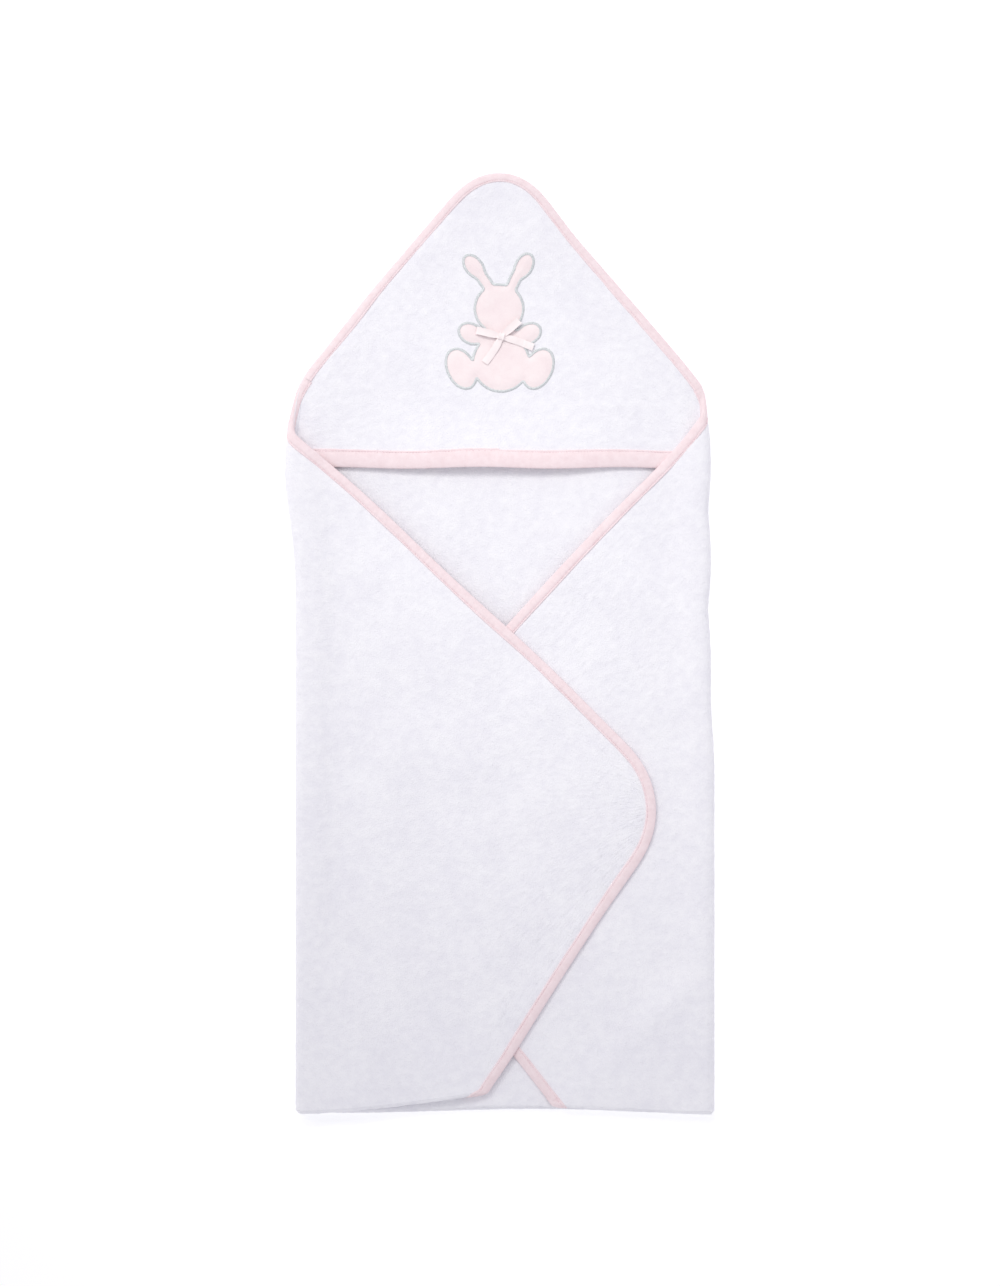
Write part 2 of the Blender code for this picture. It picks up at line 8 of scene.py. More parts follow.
import bpy
import mathutils
import numpy as np
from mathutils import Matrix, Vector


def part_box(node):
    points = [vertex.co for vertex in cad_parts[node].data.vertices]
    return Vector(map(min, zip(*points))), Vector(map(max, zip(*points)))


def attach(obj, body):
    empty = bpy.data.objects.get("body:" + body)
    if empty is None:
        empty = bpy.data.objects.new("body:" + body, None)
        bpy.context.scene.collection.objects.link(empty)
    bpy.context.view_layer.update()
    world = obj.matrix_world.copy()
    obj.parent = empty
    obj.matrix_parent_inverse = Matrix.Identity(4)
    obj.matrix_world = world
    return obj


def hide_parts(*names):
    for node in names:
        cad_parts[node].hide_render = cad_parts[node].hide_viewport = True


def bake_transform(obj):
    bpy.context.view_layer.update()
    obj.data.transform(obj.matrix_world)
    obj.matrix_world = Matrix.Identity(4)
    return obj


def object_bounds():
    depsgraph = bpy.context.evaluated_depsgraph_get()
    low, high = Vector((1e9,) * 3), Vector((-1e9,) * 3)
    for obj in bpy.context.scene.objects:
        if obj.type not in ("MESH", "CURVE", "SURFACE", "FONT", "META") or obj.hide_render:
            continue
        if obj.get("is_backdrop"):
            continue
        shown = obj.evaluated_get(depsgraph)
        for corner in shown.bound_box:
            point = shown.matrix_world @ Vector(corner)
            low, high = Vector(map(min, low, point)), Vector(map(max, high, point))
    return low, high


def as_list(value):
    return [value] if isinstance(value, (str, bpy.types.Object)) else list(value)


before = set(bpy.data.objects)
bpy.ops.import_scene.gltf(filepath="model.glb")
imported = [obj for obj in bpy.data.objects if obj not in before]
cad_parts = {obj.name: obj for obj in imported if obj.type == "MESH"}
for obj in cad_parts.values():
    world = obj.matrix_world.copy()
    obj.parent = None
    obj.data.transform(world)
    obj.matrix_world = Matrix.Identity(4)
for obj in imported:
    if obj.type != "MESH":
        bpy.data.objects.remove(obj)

CAD_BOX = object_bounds()
MM = 0.001
RNG = np.random.default_rng(7)

# ---------------- what the frame says


def low(node):
    return np.array(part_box(node)[0])


def high(node):
    return np.array(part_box(node)[1])


def level(node):
    return (low(node)[2] + high(node)[2]) / 2


def hull(*nodes):
    """The outline of CAD nodes seen from above, counter-clockwise from its lowest point."""
    vertices = [v.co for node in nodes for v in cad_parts[node].data.vertices]
    points = sorted({(round(co.x, 6), round(co.y, 6)) for co in vertices}, key=lambda p: (p[1], p[0]))

    def half(ordered):
        kept = []
        for p in ordered:
            while len(kept) > 1 and cross(kept[-2], kept[-1], p) <= 0:
                kept.pop()
            kept.append(p)
        return kept[:-1]

    return np.array(half(points) + half(points[::-1]))


def cross(o, a, b):
    return (a[0] - o[0]) * (b[1] - o[1]) - (a[1] - o[1]) * (b[0] - o[0])


def inside(outline, x, y):
    """Whether points lie within a convex outline."""
    found = np.ones(np.shape(x), bool)
    for a, b in zip(outline, np.roll(outline, -1, axis=0)):
        found &= (b[0] - a[0]) * (y - a[1]) - (b[1] - a[1]) * (x - a[0]) >= 0
    return found


TERRY = high("back_panel")[2] - low("back_panel")[2]
BACK, HOOD = level("back_panel"), level("hood_left")
BOTTOM = level("bottom_flap")
LEFT, RIGHT = level("left_flap"), level("right_flap")
LEFT_INNER, RIGHT_INNER = level("left_bottom_corner"), level("right_bottom_corner")
LEFT_X, RIGHT_X = low("left_flap")[0], high("right_flap")[0]
BOTTOM_Y = low("back_panel")[1]
BAND_Y = low("hood_band_left")[1]
STEP = 3 * MM  # of the height grids
CLOTH_STEP = 2.6 * MM
PILE = 0.12 * MM
FLAP_BINDING = 8.8 * MM
HOOD_BINDING = 7.8 * MM
BAND_WIDTH = 15.2 * MM
STITCH_PITCH = 2.5 * MM
STITCH_INSET = 1.7 * MM
MAX_SAG = 4.5 * MM


def smooth_step(t):
    t = np.clip(t, 0, 1)
    return t * t * (3 - 2 * t)


def unit(vectors):
    """Vectors of the same directions and length 1."""
    return vectors / np.maximum(np.linalg.norm(vectors, axis=-1, keepdims=True), 1e-12)


def bell(reach, sigma):
    """Weights that fall off on both sides of the middle and add up to 1."""
    weights = np.exp(-0.5 * (np.arange(-reach, reach + 1) / sigma) ** 2)
    return weights / weights.sum()


# ---------------- edges


def chain(node, start, end):
    """A node's outline from its furthest vertex in one direction to its furthest in another."""
    outline = hull(node)
    first = int(np.argmax(outline @ np.array(start)))
    outline = np.roll(outline, -first, axis=0)
    last = int(np.argmax(outline @ np.array(end)))
    return outline[: last + 1]


def resample(points, step):
    lengths = np.concatenate([[0], np.cumsum(np.linalg.norm(np.diff(points, axis=0), axis=1))])
    count = max(2, int(round(lengths[-1] / step)) + 1)
    at = np.linspace(0, lengths[-1], count)
    return np.stack([np.interp(at, lengths, points[:, k]) for k in range(points.shape[1])], axis=1)


def averaged(points, weights):
    """A path's running average. It ends where the weights would reach past the path."""
    return np.stack([np.convolve(points[:, k], weights, "valid") for k in range(2)], axis=1)


def soften(points, step, sigma):
    """Rounds a path's corners off. Its two ends stay where they are."""
    fine = resample(points, step)
    reach = int(3 * sigma / step)
    before = 2 * fine[0] - fine[reach:0:-1]
    after = 2 * fine[-1] - fine[-2 : -reach - 2 : -1]
    return averaged(np.concatenate([before, fine, after]), bell(reach, sigma / step))


HOOD_BOW = {-165: 2.5, -110: 5.5, 0: 4.3, 60: -2.0, 170: -0.5}  # mm outward, at an x in mm


def bowed(path):
    """The hood's edge as it lies, bowed out on the left and drawn in a little on the right."""
    along = unit(np.gradient(path, axis=0))
    out = np.interp(path[:, 0] / MM, list(HOOD_BOW), list(HOOD_BOW.values())) * MM
    moved = path + np.stack([along[:, 1], -along[:, 0]], axis=1) * out[:, None]
    moved[[0, -1], 0] = path[[0, -1], 0]
    return soften(moved, PATH_STEP, 8 * MM)


EAST, WEST = (1000, 1), (-1000, 1)
FOOT_OF_LEFT, FOOT_OF_RIGHT = (1, -1000), (-1, -1000)  # the lowest point, or of several the one nearer the middle
PATH_STEP = 1.5 * MM
HOOD_EDGE = bowed(soften(chain("hood_binding", EAST, WEST), PATH_STEP, 5 * MM))
LEFT_EDGE = soften(chain("left_binding", FOOT_OF_LEFT, WEST), PATH_STEP, 9 * MM)
RIGHT_EDGE = soften(chain("right_binding", EAST, FOOT_OF_RIGHT), PATH_STEP, 9 * MM)
BOTTOM_EDGE = soften(chain("bottom_binding", EAST, WEST), PATH_STEP, 5 * MM)
LEFT_CORNER_EDGE = soften(chain("left_corner_binding", FOOT_OF_LEFT, WEST), PATH_STEP, 5 * MM)
RIGHT_CORNER_EDGE = soften(chain("right_corner_binding", EAST, FOOT_OF_RIGHT), PATH_STEP, 5 * MM)


def edge_y(path, x):
    """Where a path that crosses the towel once is, at an x."""
    ordered = path[np.argsort(path[:, 0])]
    return np.interp(x, ordered[:, 0], ordered[:, 1])


def distance(path, x, y):
    """How far each point lies from a path."""
    found = np.full(np.shape(x), 9.0)
    for px, py in path[:: max(1, len(path) // 400)]:
        found = np.minimum(found, (x - px) ** 2 + (y - py) ** 2)
    return np.sqrt(found)


# ---------------- how high each layer lies

GX = np.arange(-0.2, 0.2, STEP)
GY = np.arange(-0.42, 0.44, STEP)
XX, YY = np.meshgrid(GX, GY, indexing="ij")


def sample(field, x, y):
    """A height grid at any points."""
    i = np.clip((x - GX[0]) / STEP, 0, len(GX) - 1.001)
    j = np.clip((y - GY[0]) / STEP, 0, len(GY) - 1.001)
    a, b = i.astype(int), j.astype(int)
    s, t = i - a, j - b
    near = field[a, b] * (1 - t) + field[a, b + 1] * t
    far = field[a + 1, b] * (1 - t) + field[a + 1, b + 1] * t
    return near * (1 - s) + far * s


def ripple(size, shortest, longest, count=9):
    """Gentle unevenness of a laid cloth, as a sum of waves over the grid."""
    total = np.zeros(XX.shape)
    for _ in range(count):
        turn, phase = RNG.uniform(0, math.pi), RNG.uniform(0, 2 * math.pi)
        wave = RNG.uniform(shortest, longest)
        along = XX * math.cos(turn) + YY * math.sin(turn)
        bend = 0.25 * wave * np.sin((YY * math.cos(turn) - XX * math.sin(turn)) * 2 * math.pi / (2.7 * wave))
        total += np.sin((along + bend) * 2 * math.pi / wave + phase)
    return total * size / math.sqrt(count)


def settle(start, floor, held, rounds=420, drop=0.018 * MM):
    """Lets a cloth sink from its held points until it lies on what is under it."""

    def neighbours(height):
        around = np.pad(height, 1, mode="edge")
        return (around[:-2, 1:-1] + around[2:, 1:-1] + around[1:-1, :-2] + around[1:-1, 2:]) / 4

    height = start.copy()
    for _ in range(rounds):
        height = np.where(held, start, np.maximum(neighbours(height) - drop, floor))
    for _ in range(3):
        height = (neighbours(height) + height) / 2
    return height


APEX_X, APEX_Y = HOOD_EDGE[int(np.argmax(HOOD_EDGE[:, 1])), 0], high("hood_front")[1]
MOUTH = (low("hood_band")[0], high("hood_band")[0])
MOUTH_LIFT = 6.0 * MM


def mouth_lift(x, y):
    """How far the hood's front edge stands open, most in its middle."""
    half = np.where(x < APEX_X, APEX_X - MOUTH[0], MOUTH[1] - APEX_X)
    across = np.clip(np.abs(x - APEX_X) / half, 0, 1)
    along = np.clip((APEX_Y - y) / (APEX_Y - BAND_Y), 0, 1.3)
    return MOUTH_LIFT * (1 - across**2) ** 2 * along**1.5


def hood_height():
    edge = smooth_step(distance(HOOD_EDGE, XX, YY) / (16 * MM))
    edge = edge * smooth_step((XX - LEFT_X) / (20 * MM)) * smooth_step((RIGHT_X - XX) / (20 * MM))
    puff = ripple(0.45 * MM, 60 * MM, 150 * MM) + 0.5 * MM
    return HOOD - 0.9 * MM * (1 - edge) + puff * edge + mouth_lift(XX, YY)


HOOD_SHAPE = hull("hood_left", "hood_right", "hood_binding")
BOTTOM_SHAPE = hull("bottom_flap", "bottom_binding")
RIGHT_SHAPE = hull("right_flap", "right_binding")
HOOD_Z = hood_height()
ROOT_Z = np.where(inside(HOOD_SHAPE, XX, YY), HOOD_Z, BACK)
ROOT_Z = np.where(inside(BOTTOM_SHAPE, XX, YY), BOTTOM, ROOT_Z)
LAYER = TERRY + 0.5 * MM


def flap_height(under, level_z, inner, inner_z, held):
    """A side flap lies on the layers under it, on its own folded corner, and stands up at its fold."""
    floor = np.where(inside(inner, XX, YY), np.maximum(inner_z, under), under) + LAYER
    floor = np.maximum(floor, level_z - MAX_SAG)
    start = np.full(XX.shape, level_z)
    return settle(start, floor, held) + ripple(0.4 * MM, 50 * MM, 160 * MM) * ~held


RIGHT_Z = flap_height(ROOT_Z, RIGHT, hull("right_bottom_corner"), RIGHT_INNER, XX > RIGHT_X - STEP)
UNDER_LEFT = np.where(inside(RIGHT_SHAPE, XX, YY), RIGHT_Z + 1.0 * MM, ROOT_Z)
LEFT_Z = flap_height(UNDER_LEFT, LEFT, hull("left_bottom_corner"), LEFT_INNER, XX < LEFT_X + STEP)

# ---------------- maps from a flat cut to the laid cloth


LEFT_BULGE = (150, 56, 9.3)  # where along the fold in mm, how long and how deep
RIGHT_WAVES = ((200, 22, 3.2), (113, 18, 2.2), (28, 20, 2.2))
RIGHT_DRAWN_IN = 3.0 * MM
BOTTOM_WAVE = 1.6 * MM


def hump(y, centre, reach, deep):
    """A smooth bump along a fold, its sizes in mm."""
    return deep * MM * np.exp(-(((y - centre * MM) / (reach * MM)) ** 2))


def set_by_hand(p):
    """The folds of a cloth folded by hand wander a little: the left one bows out below the hood, and the right
    one draws in, in three shallow waves. Everything near them goes with them."""
    x, y = p[..., 0], p[..., 1]
    left = -hump(y, *LEFT_BULGE)
    right = -RIGHT_DRAWN_IN * smooth_step((y + 0.11) / 0.07) - sum(hump(y, *wave) for wave in RIGHT_WAVES)
    left = left * np.exp(-np.maximum(x - LEFT_X, 0) / 0.05)
    right = right * np.exp(-np.maximum(RIGHT_X - x, 0) / 0.05)
    bottom = BOTTOM_WAVE * np.sin((x + 0.05) / 0.045) * np.exp(-np.maximum(y - BOTTOM_Y, 0) / 0.02)
    return p + np.stack([left + right, bottom, np.zeros(np.shape(x))], axis=-1)


def laid(field):
    """The map of a cloth that lies open at the heights in a grid, or at one height."""

    def surface(u, v):
        z = sample(field, u, v) if isinstance(field, np.ndarray) else np.full(np.shape(u), field)
        return set_by_hand(np.stack([u, v, z], axis=-1))

    return surface


LAID_OVER = 25 * MM  # from a side fold to where its cloth lies on what is under it


class Turn:
    """A cloth turned up round a side fold. u runs from 0, where the turn starts at the lower level, over the turn
    and back over the towel, and v is y. side is -1 for the left fold and 1 for the right."""

    def __init__(self, fold_x, side, low_z, high_z, length=None):
        self.fold_x, self.side, self.low_z, self.high_z = fold_x, side, low_z, high_z
        self.radius = (high_z - low_z) / 2
        self.length = length or math.pi * self.radius

    def x_of(self, u):
        """The x of a point of the flat cut that has been turned right over."""
        return self.fold_x - self.side * np.maximum(u - self.length, 0)

    def u_of(self, x):
        return self.length + np.abs(x - self.fold_x)

    def lay_flat(self, u, v, field):
        """Where a point lies if the cloth ends flat inside the turn, instead of going round it."""
        x = self.fold_x - self.side * (u - self.length)
        over = smooth_step((u - self.length) / LAID_OVER)
        return np.stack([x, v, self.high_z * (1 - over) + field(x, v) * over], axis=-1)

    def place(self, u, v, field, inward=0.0):
        """Where a point lies. inward moves it that far towards the inside of the turn."""
        angle = np.clip(u / self.length, 0, 1) * math.pi - math.pi / 2
        radius = self.radius - inward
        x = self.x_of(u) + self.side * (radius * np.cos(angle) + np.minimum(u, 0))
        over = smooth_step((u - self.length) / LAID_OVER)
        flat = self.high_z * (1 - over) + field(x, v) * over - inward
        z = np.where(u > self.length, flat, (self.low_z + self.high_z) / 2 + radius * np.sin(angle))
        return np.stack([x, v, z], axis=-1)


def turned_up(start, end, fold_y, radius):
    """The map of a cloth that turns round a bottom fold from one map to another. v runs from 0 where the turn
    starts."""
    length = math.pi * radius

    def surface(u, v):
        angle = np.clip(v, 0, length) / radius - math.pi / 2
        share = ((1 + np.sin(angle)) / 2)[..., None]
        y = fold_y(u) - radius * np.cos(angle) + np.maximum(v - length, 0) - np.minimum(v, 0)
        return set_by_hand(start(u, y) * (1 - share) + end(u, y) * share)

    return surface, length


def normals_of(surface, u, v):
    reach = 0.4 * MM
    across = surface(u + reach, v) - surface(u - reach, v)
    along = surface(u, v + reach) - surface(u, v - reach)
    return unit(np.cross(across, along))


# ---------------- meshes

FLAT = {}  # the width, length and area that each sheet was cut to


def new_object(name, points, faces, material):
    mesh = bpy.data.meshes.new(name)
    mesh.from_pydata(np.asarray(points).reshape(-1, 3).tolist(), [], [tuple(f) for f in faces])
    mesh.validate()
    mesh.update()
    mesh.shade_smooth()
    mesh.set_sharp_from_angle(angle=math.radians(62))
    obj = bpy.data.objects.new(name, mesh)
    bpy.context.scene.collection.objects.link(obj)
    mesh.materials.append(material)
    return obj


def grid_faces(cols, rows, start=0, flip=False, wrap=False):
    """The quads of a grid of vertices, numbered row by row within each column."""
    i, j = np.meshgrid(np.arange(cols - 1), np.arange(rows if wrap else rows - 1), indexing="ij")
    k = (j + 1) % rows
    quads = np.stack([i * rows + j, (i + 1) * rows + j, (i + 1) * rows + k, i * rows + k], axis=-1) + start
    quads = quads.reshape(-1, 4)
    return quads[:, ::-1] if flip else quads


def tube_faces(stations, around, start=0, flip=False):
    """The sides of a tube of rings of vertices, and its two ends."""
    first = [start + k for k in range(around)]
    last = [(stations - 1) * around + k for k in reversed(first)]
    ends = [first[::-1], last[::-1]] if flip else [first, last]
    return grid_faces(stations, around, start, flip, wrap=True).tolist() + ends


def rim_faces(cols, rows):
    """Joins the borders of two grids, the second numbered after the first."""
    border = [i * rows for i in range(cols)] + [(cols - 1) * rows + j for j in range(1, rows)]
    border += [i * rows + rows - 1 for i in range(cols - 2, -1, -1)] + list(range(rows - 2, 0, -1))
    border = np.array(border)
    after = np.roll(border, -1)
    return np.stack([border, border + cols * rows, after + cols * rows, after], axis=-1)


def add_cloth(
    name, us, lows, highs, surface, edges=(), slot="terry_white", thickness=TERRY, step=CLOTH_STEP, pile=PILE, ease=1
):
    """A sheet over a flat cut: columns at us, each from its low to its high v. It is pressed thin where it runs
    into a binding, and its pile is uneven. ease is the share of us that it keeps inside another fold."""
    cols, rows = len(us), max(3, int(np.max(highs - lows) / step))
    t = np.linspace(0, 1, rows)
    u = np.repeat(us[:, None], rows, axis=1)
    v = lows[:, None] + (highs - lows)[:, None] * t[None, :]
    middle, normal = surface(u, v), normals_of(surface, u, v)
    half = np.full(u.shape, thickness / 2)
    for edge, width in edges:
        half *= 0.5 + 0.5 * smooth_step((distance(edge, u, v) - 0.72 * width) / (0.6 * width))
    tufts = pile * RNG.standard_normal((2, *u.shape)) * (half / (thickness / 2))
    tufts[:, [0, -1]] = 0
    upper = middle + normal * (half + tufts[0])[..., None]
    lower = middle - normal * (half + tufts[1])[..., None]
    faces = [grid_faces(cols, rows), grid_faces(cols, rows, cols * rows, flip=True), rim_faces(cols, rows)]
    points = np.concatenate([upper.reshape(-1, 3), lower.reshape(-1, 3)])
    obj = new_object(name, points, np.concatenate(faces), MATERIALS[slot])
    area = float(np.trapz(highs - lows, us)) * ease
    FLAT[name] = (float(np.ptp(us)) * ease, float(highs.max() - lows.min()), area)
    return obj


def columns(first, last, step=CLOTH_STEP):
    return np.linspace(first, last, max(3, int(abs(last - first) / step) + 1))


def inward_of(path):
    """A path's inward normals, with the cloth on its left."""
    along = unit(np.gradient(path, axis=0))
    return np.stack([-along[:, 1], along[:, 0]], axis=1)


def tape_profile(width, core, rim):
    """The outer shape of a tape folded over a cloth edge: its depths, and its heights over the cloth's middle at
    each station, the face first. The cloth in it is core thick each way at its inner edge and rim at its outer
    one. A row of stitches holds the tape down near its inner edge."""
    groove = width - STITCH_INSET
    face = [
        (width, core + 0.10 * MM),
        (width - 0.35 * MM, core + 0.48 * MM),
        (groove + 0.45 * MM, core + 0.52 * MM),
        (groove, core + 0.22 * MM),
        (groove - 0.5 * MM, core + 0.58 * MM),
        (0.58 * width, 0.7 * core + 0.3 * rim + 0.85 * MM),
        (0.36 * width, 0.4 * core + 0.6 * rim + 0.85 * MM),
        (0.16 * width, 0.1 * core + 0.9 * rim + 0.55 * MM),
        (0.03 * width, rim + 0.05 * MM),
        (-0.25 * MM, 0.4 * rim),
    ]
    both = face + [(d, -h) for d, h in reversed(face)]
    return np.array([d for d, _ in both]), np.stack([h for _, h in both], axis=1)


TAPE_STEP = 1.25 * MM


def add_tape(name, path, surface, width, thick):
    """Bias binding along an edge: soft, a little uneven, and drawn in by each stitch. thick gives the cloth's
    half thickness at a u."""
    path = resample(path, TAPE_STEP)
    inward = inward_of(path)
    stations = len(path)
    run = np.arange(stations) * TAPE_STEP
    core = thick(path[:, 0])
    across, height = tape_profile(width, core, 0.56 * core)
    wander = smooth_noise(stations, 16) * 0.28 * MM
    pucker = 0.10 * MM * np.sin(run * math.pi / STITCH_PITCH) + smooth_noise(stations, 3) * 0.13 * MM
    depth = across[None] + wander[:, None] * (across[None] / width)
    height = height + pucker[:, None] * smooth_step(across / width * 2) * np.sign(height)
    u = path[:, None, 0] + inward[:, None, 0] * depth
    v = path[:, None, 1] + inward[:, None, 1] * depth
    points = surface(u, v) + normals_of(surface, u, v) * height[..., None]
    return new_object(name, points, tube_faces(stations, len(across), flip=True), MATERIALS["binding_pink"])


def smooth_noise(count, reach):
    """Random values along a line, smoothed over a reach of steps and scaled to about 1."""
    raw = RNG.standard_normal(count + 6 * reach)
    found = np.convolve(raw, bell(3 * reach, reach), "valid")[:count]
    return found / max(1e-9, found.std())


def circles(first, second, angles):
    """Unit circles in the planes of two directions, one of each at every station."""
    return first[:, None] * np.cos(angles)[None, :, None] + second[:, None] * np.sin(angles)[None, :, None]


def add_stitches(name, path, surface, depth, thick):
    """A row of lockstitch: each stitch a short rounded thread that dips into the tape at both ends."""
    fine = resample(path, STITCH_PITCH / 5)
    line = fine + inward_of(fine) * depth
    count = len(line) // 5 - 1
    bulge = np.array([-0.10, 0.10, 0.16, 0.10, -0.10]) * MM
    girth = np.array([0.05, 0.19, 0.21, 0.19, 0.05]) * MM
    angles = np.linspace(0, 2 * math.pi, 7)[:-1]
    points, faces = [], []
    for side in (1, -1):
        for n in range(count):
            at = np.arange(5 * n, 5 * n + 5)
            u, v = line[at, 0], line[at, 1]
            normal = normals_of(surface, u, v) * side
            centre = surface(u, v) + normal * (thick(u) + 0.3 * MM + bulge)[:, None]
            across = unit(np.cross(np.gradient(centre, axis=0), normal))
            faces += tube_faces(5, 6, len(points) * 30)
            points.append(centre[:, None] + circles(across, normal, angles) * girth[:, None, None])
    return new_object(name, np.array(points), faces, MATERIALS["thread_pink"])


# ---------------- materials


def new_material(name, colour, roughness, specular, sheen=0.0, sheen_roughness=0.5):
    """A material, its shader and its node tree."""
    material = bpy.data.materials.new(name)
    material.use_nodes = True
    tree = material.node_tree
    shader = tree.nodes["Principled BSDF"]
    shader.inputs["Base Color"].default_value = (*colour, 1)
    shader.inputs["Roughness"].default_value = roughness
    shader.inputs["Specular IOR Level"].default_value = specular
    shader.inputs["Sheen Weight"].default_value = sheen
    shader.inputs["Sheen Roughness"].default_value = sheen_roughness
    return material, shader, tree


def add_node(tree, kind, **settings):
    node = tree.nodes.new(kind)
    for key, value in settings.items():
        if hasattr(node, key):
            setattr(node, key, value)
        else:
            node.inputs[key.replace("_", " ").title()].default_value = value
    return node


def combined(tree, operation, *values):
    """A Math node over numbers and other nodes' outputs."""
    node = add_node(tree, "ShaderNodeMath", operation=operation)
    for socket, value in zip(node.inputs, values):
        if isinstance(value, float):
            socket.default_value = value
        else:
            tree.links.new(value, socket)
    return node.outputs[0]


def noise(tree, coordinates, scale, detail=2.0, roughness=0.5):
    node = add_node(tree, "ShaderNodeTexNoise", scale=scale, detail=detail, roughness=roughness)
    tree.links.new(coordinates, node.inputs["Vector"])
    return node.outputs["Fac"]


def object_coordinates(tree, stretch=(1, 1, 1), turn=0.0):
    coordinates = tree.nodes.new("ShaderNodeTexCoord").outputs["Object"]
    mapping = tree.nodes.new("ShaderNodeMapping")
    mapping.inputs["Scale"].default_value = stretch
    mapping.inputs["Rotation"].default_value = (0, 0, turn)
    tree.links.new(coordinates, mapping.inputs["Vector"])
    return mapping.outputs["Vector"]


def blend_colours(tree, factor, dark, light, target):
    ramp = tree.nodes.new("ShaderNodeValToRGB")
    ramp.color_ramp.elements[0].position = 0.3
    ramp.color_ramp.elements[1].position = 0.7
    ramp.color_ramp.elements[0].color = (*dark, 1)
    ramp.color_ramp.elements[1].color = (*light, 1)
    tree.links.new(factor, ramp.inputs["Fac"])
    tree.links.new(ramp.outputs["Color"], target)


def add_bump(tree, shader, *layers):
    """Bumps one on another: (height, distance, strength) each."""
    normal = None
    for height, far, strength in layers:
        bump = tree.nodes.new("ShaderNodeBump")
        bump.inputs["Distance"].default_value = far
        bump.inputs["Strength"].default_value = strength
        tree.links.new(height, bump.inputs["Height"])
        if normal is not None:
            tree.links.new(normal, bump.inputs["Normal"])
        normal = bump.outputs["Normal"]
    tree.links.new(normal, shader.inputs["Normal"])


def terry_material():
    """Short dense loops: a pile of soft tufts, a little uneven in tone."""
    material, shader, tree = new_material("terry_pile", (0.9, 0.89, 0.93), 0.95, 0.1, 0.25, 0.6)
    where = object_coordinates(tree)
    loops = add_node(tree, "ShaderNodeTexVoronoi", feature="SMOOTH_F1", scale=720.0)
    loops.inputs["Smoothness"].default_value = 0.7
    tree.links.new(where, loops.inputs["Vector"])
    fluff = noise(tree, where, 1500, 3)
    clumps = noise(tree, where, 130, 3, 0.6)
    patches = noise(tree, where, 22, 3, 0.55)
    both = combined(tree, "MULTIPLY_ADD", patches, 0.6, clumps)
    tone = combined(tree, "SUBTRACT", both, 0.3)
    blend_colours(tree, tone, (0.865, 0.855, 0.905), (0.925, 0.918, 0.95), shader.inputs["Base Color"])
    loop_bump = (loops.outputs["Distance"], 0.5 * MM, 0.5)
    add_bump(tree, shader, (clumps, 1.4 * MM, 0.55), loop_bump, (fluff, 0.3 * MM, 0.45))
    return material


def woven_material(name, dark, light, pitch, depth, roughness, sheen, turn=0.0):
    """A plain weave, with threads of uneven thickness."""
    material, shader, tree = new_material(name, light, roughness, 0.25, sheen, 0.4)
    where = object_coordinates(tree, turn=turn)
    heights = []
    for direction in ("X", "Y"):
        wave = add_node(tree, "ShaderNodeTexWave", bands_direction=direction, scale=0.314 / pitch)
        wave.inputs["Distortion"].default_value = 1.2
        wave.inputs["Detail"].default_value = 1.0
        wave.inputs["Detail Scale"].default_value = 3.0
        tree.links.new(where, wave.inputs["Vector"])
        heights.append(wave.outputs["Fac"])
    weave = combined(tree, "MAXIMUM", *heights)
    soft = noise(tree, where, 160, 3, 0.6)
    blend_colours(tree, soft, dark, light, shader.inputs["Base Color"])
    add_bump(tree, shader, (soft, 0.5 * MM, 0.4), (weave, depth, 0.55))
    return material


def pile_material(name, dark, light, sheen):
    """Velour: a short upright pile that catches the light where it leans."""
    material, shader, tree = new_material(name, light, 0.9, 0.1, sheen, 0.35)
    where = object_coordinates(tree)
    soft = noise(tree, where, 90, 3, 0.6)
    hairs = noise(tree, where, 2400, 2)
    blend_colours(tree, soft, dark, light, shader.inputs["Base Color"])
    add_bump(tree, shader, (soft, 0.5 * MM, 0.5), (hairs, 0.25 * MM, 0.5))
    return material


def thread_material(name, dark, light, roughness):
    material, shader, tree = new_material(name, light, roughness, 0.5, 0.1)
    where = object_coordinates(tree)
    soft = noise(tree, where, 700, 2)
    blend_colours(tree, soft, dark, light, shader.inputs["Base Color"])
    add_bump(tree, shader, (noise(tree, where, 3500, 2), 0.08 * MM, 0.5))
    return material


BIAS = 0.78  # the turn of a bias binding's weave
MATERIALS = {
    "terry_white": terry_material(),
    "binding_pink": woven_material(
        "bias_binding", (0.9, 0.74, 0.76), (0.95, 0.81, 0.83), 0.42 * MM, 0.1 * MM, 0.75, 0.2, BIAS
    ),
    "thread_pink": thread_material("topstitch_thread", (0.84, 0.62, 0.66), (0.93, 0.74, 0.77), 0.55),
    "velour_pink": pile_material("rabbit_velour", (0.925, 0.80, 0.81), (0.96, 0.86, 0.86), 0.3),
    "satin_thread_grey": thread_material("satin_thread", (0.68, 0.71, 0.72), (0.80, 0.83, 0.83), 0.4),
    "ribbon_pink": woven_material(
        "satin_ribbon", (0.955, 0.86, 0.86), (0.985, 0.905, 0.90), 0.3 * MM, 0.05 * MM, 0.38, 0.15
    ),
    "label_white": woven_material(
        "label_tape", (0.88, 0.88, 0.89), (0.94, 0.94, 0.95), 0.25 * MM, 0.05 * MM, 0.5, 0.05
    ),
}
SHEETS, PADDED = [], []


def finish_piece(obj, body, nodes, blend=None):
    """Puts a piece on its body, or, given a blend, leaves it off any body with its place baked into its mesh, and in
    place of its CAD nodes.
    """
    if blend:
        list(blend)
        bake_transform(obj)
    else:
        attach(obj, body)
    if nodes:
        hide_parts(*nodes)


# ---------------- the towel's cloths

STACK = (BACK + HOOD) / 2 - BACK
SIDE_TILT = 0.447  # how far the line of a side flap's blend leans from upright


def edge_sink(path, x, y, reach=16 * MM):
    """1 at an edge, falling to 0 inside it."""
    return 1 - smooth_step(distance(path, x, y) / reach)


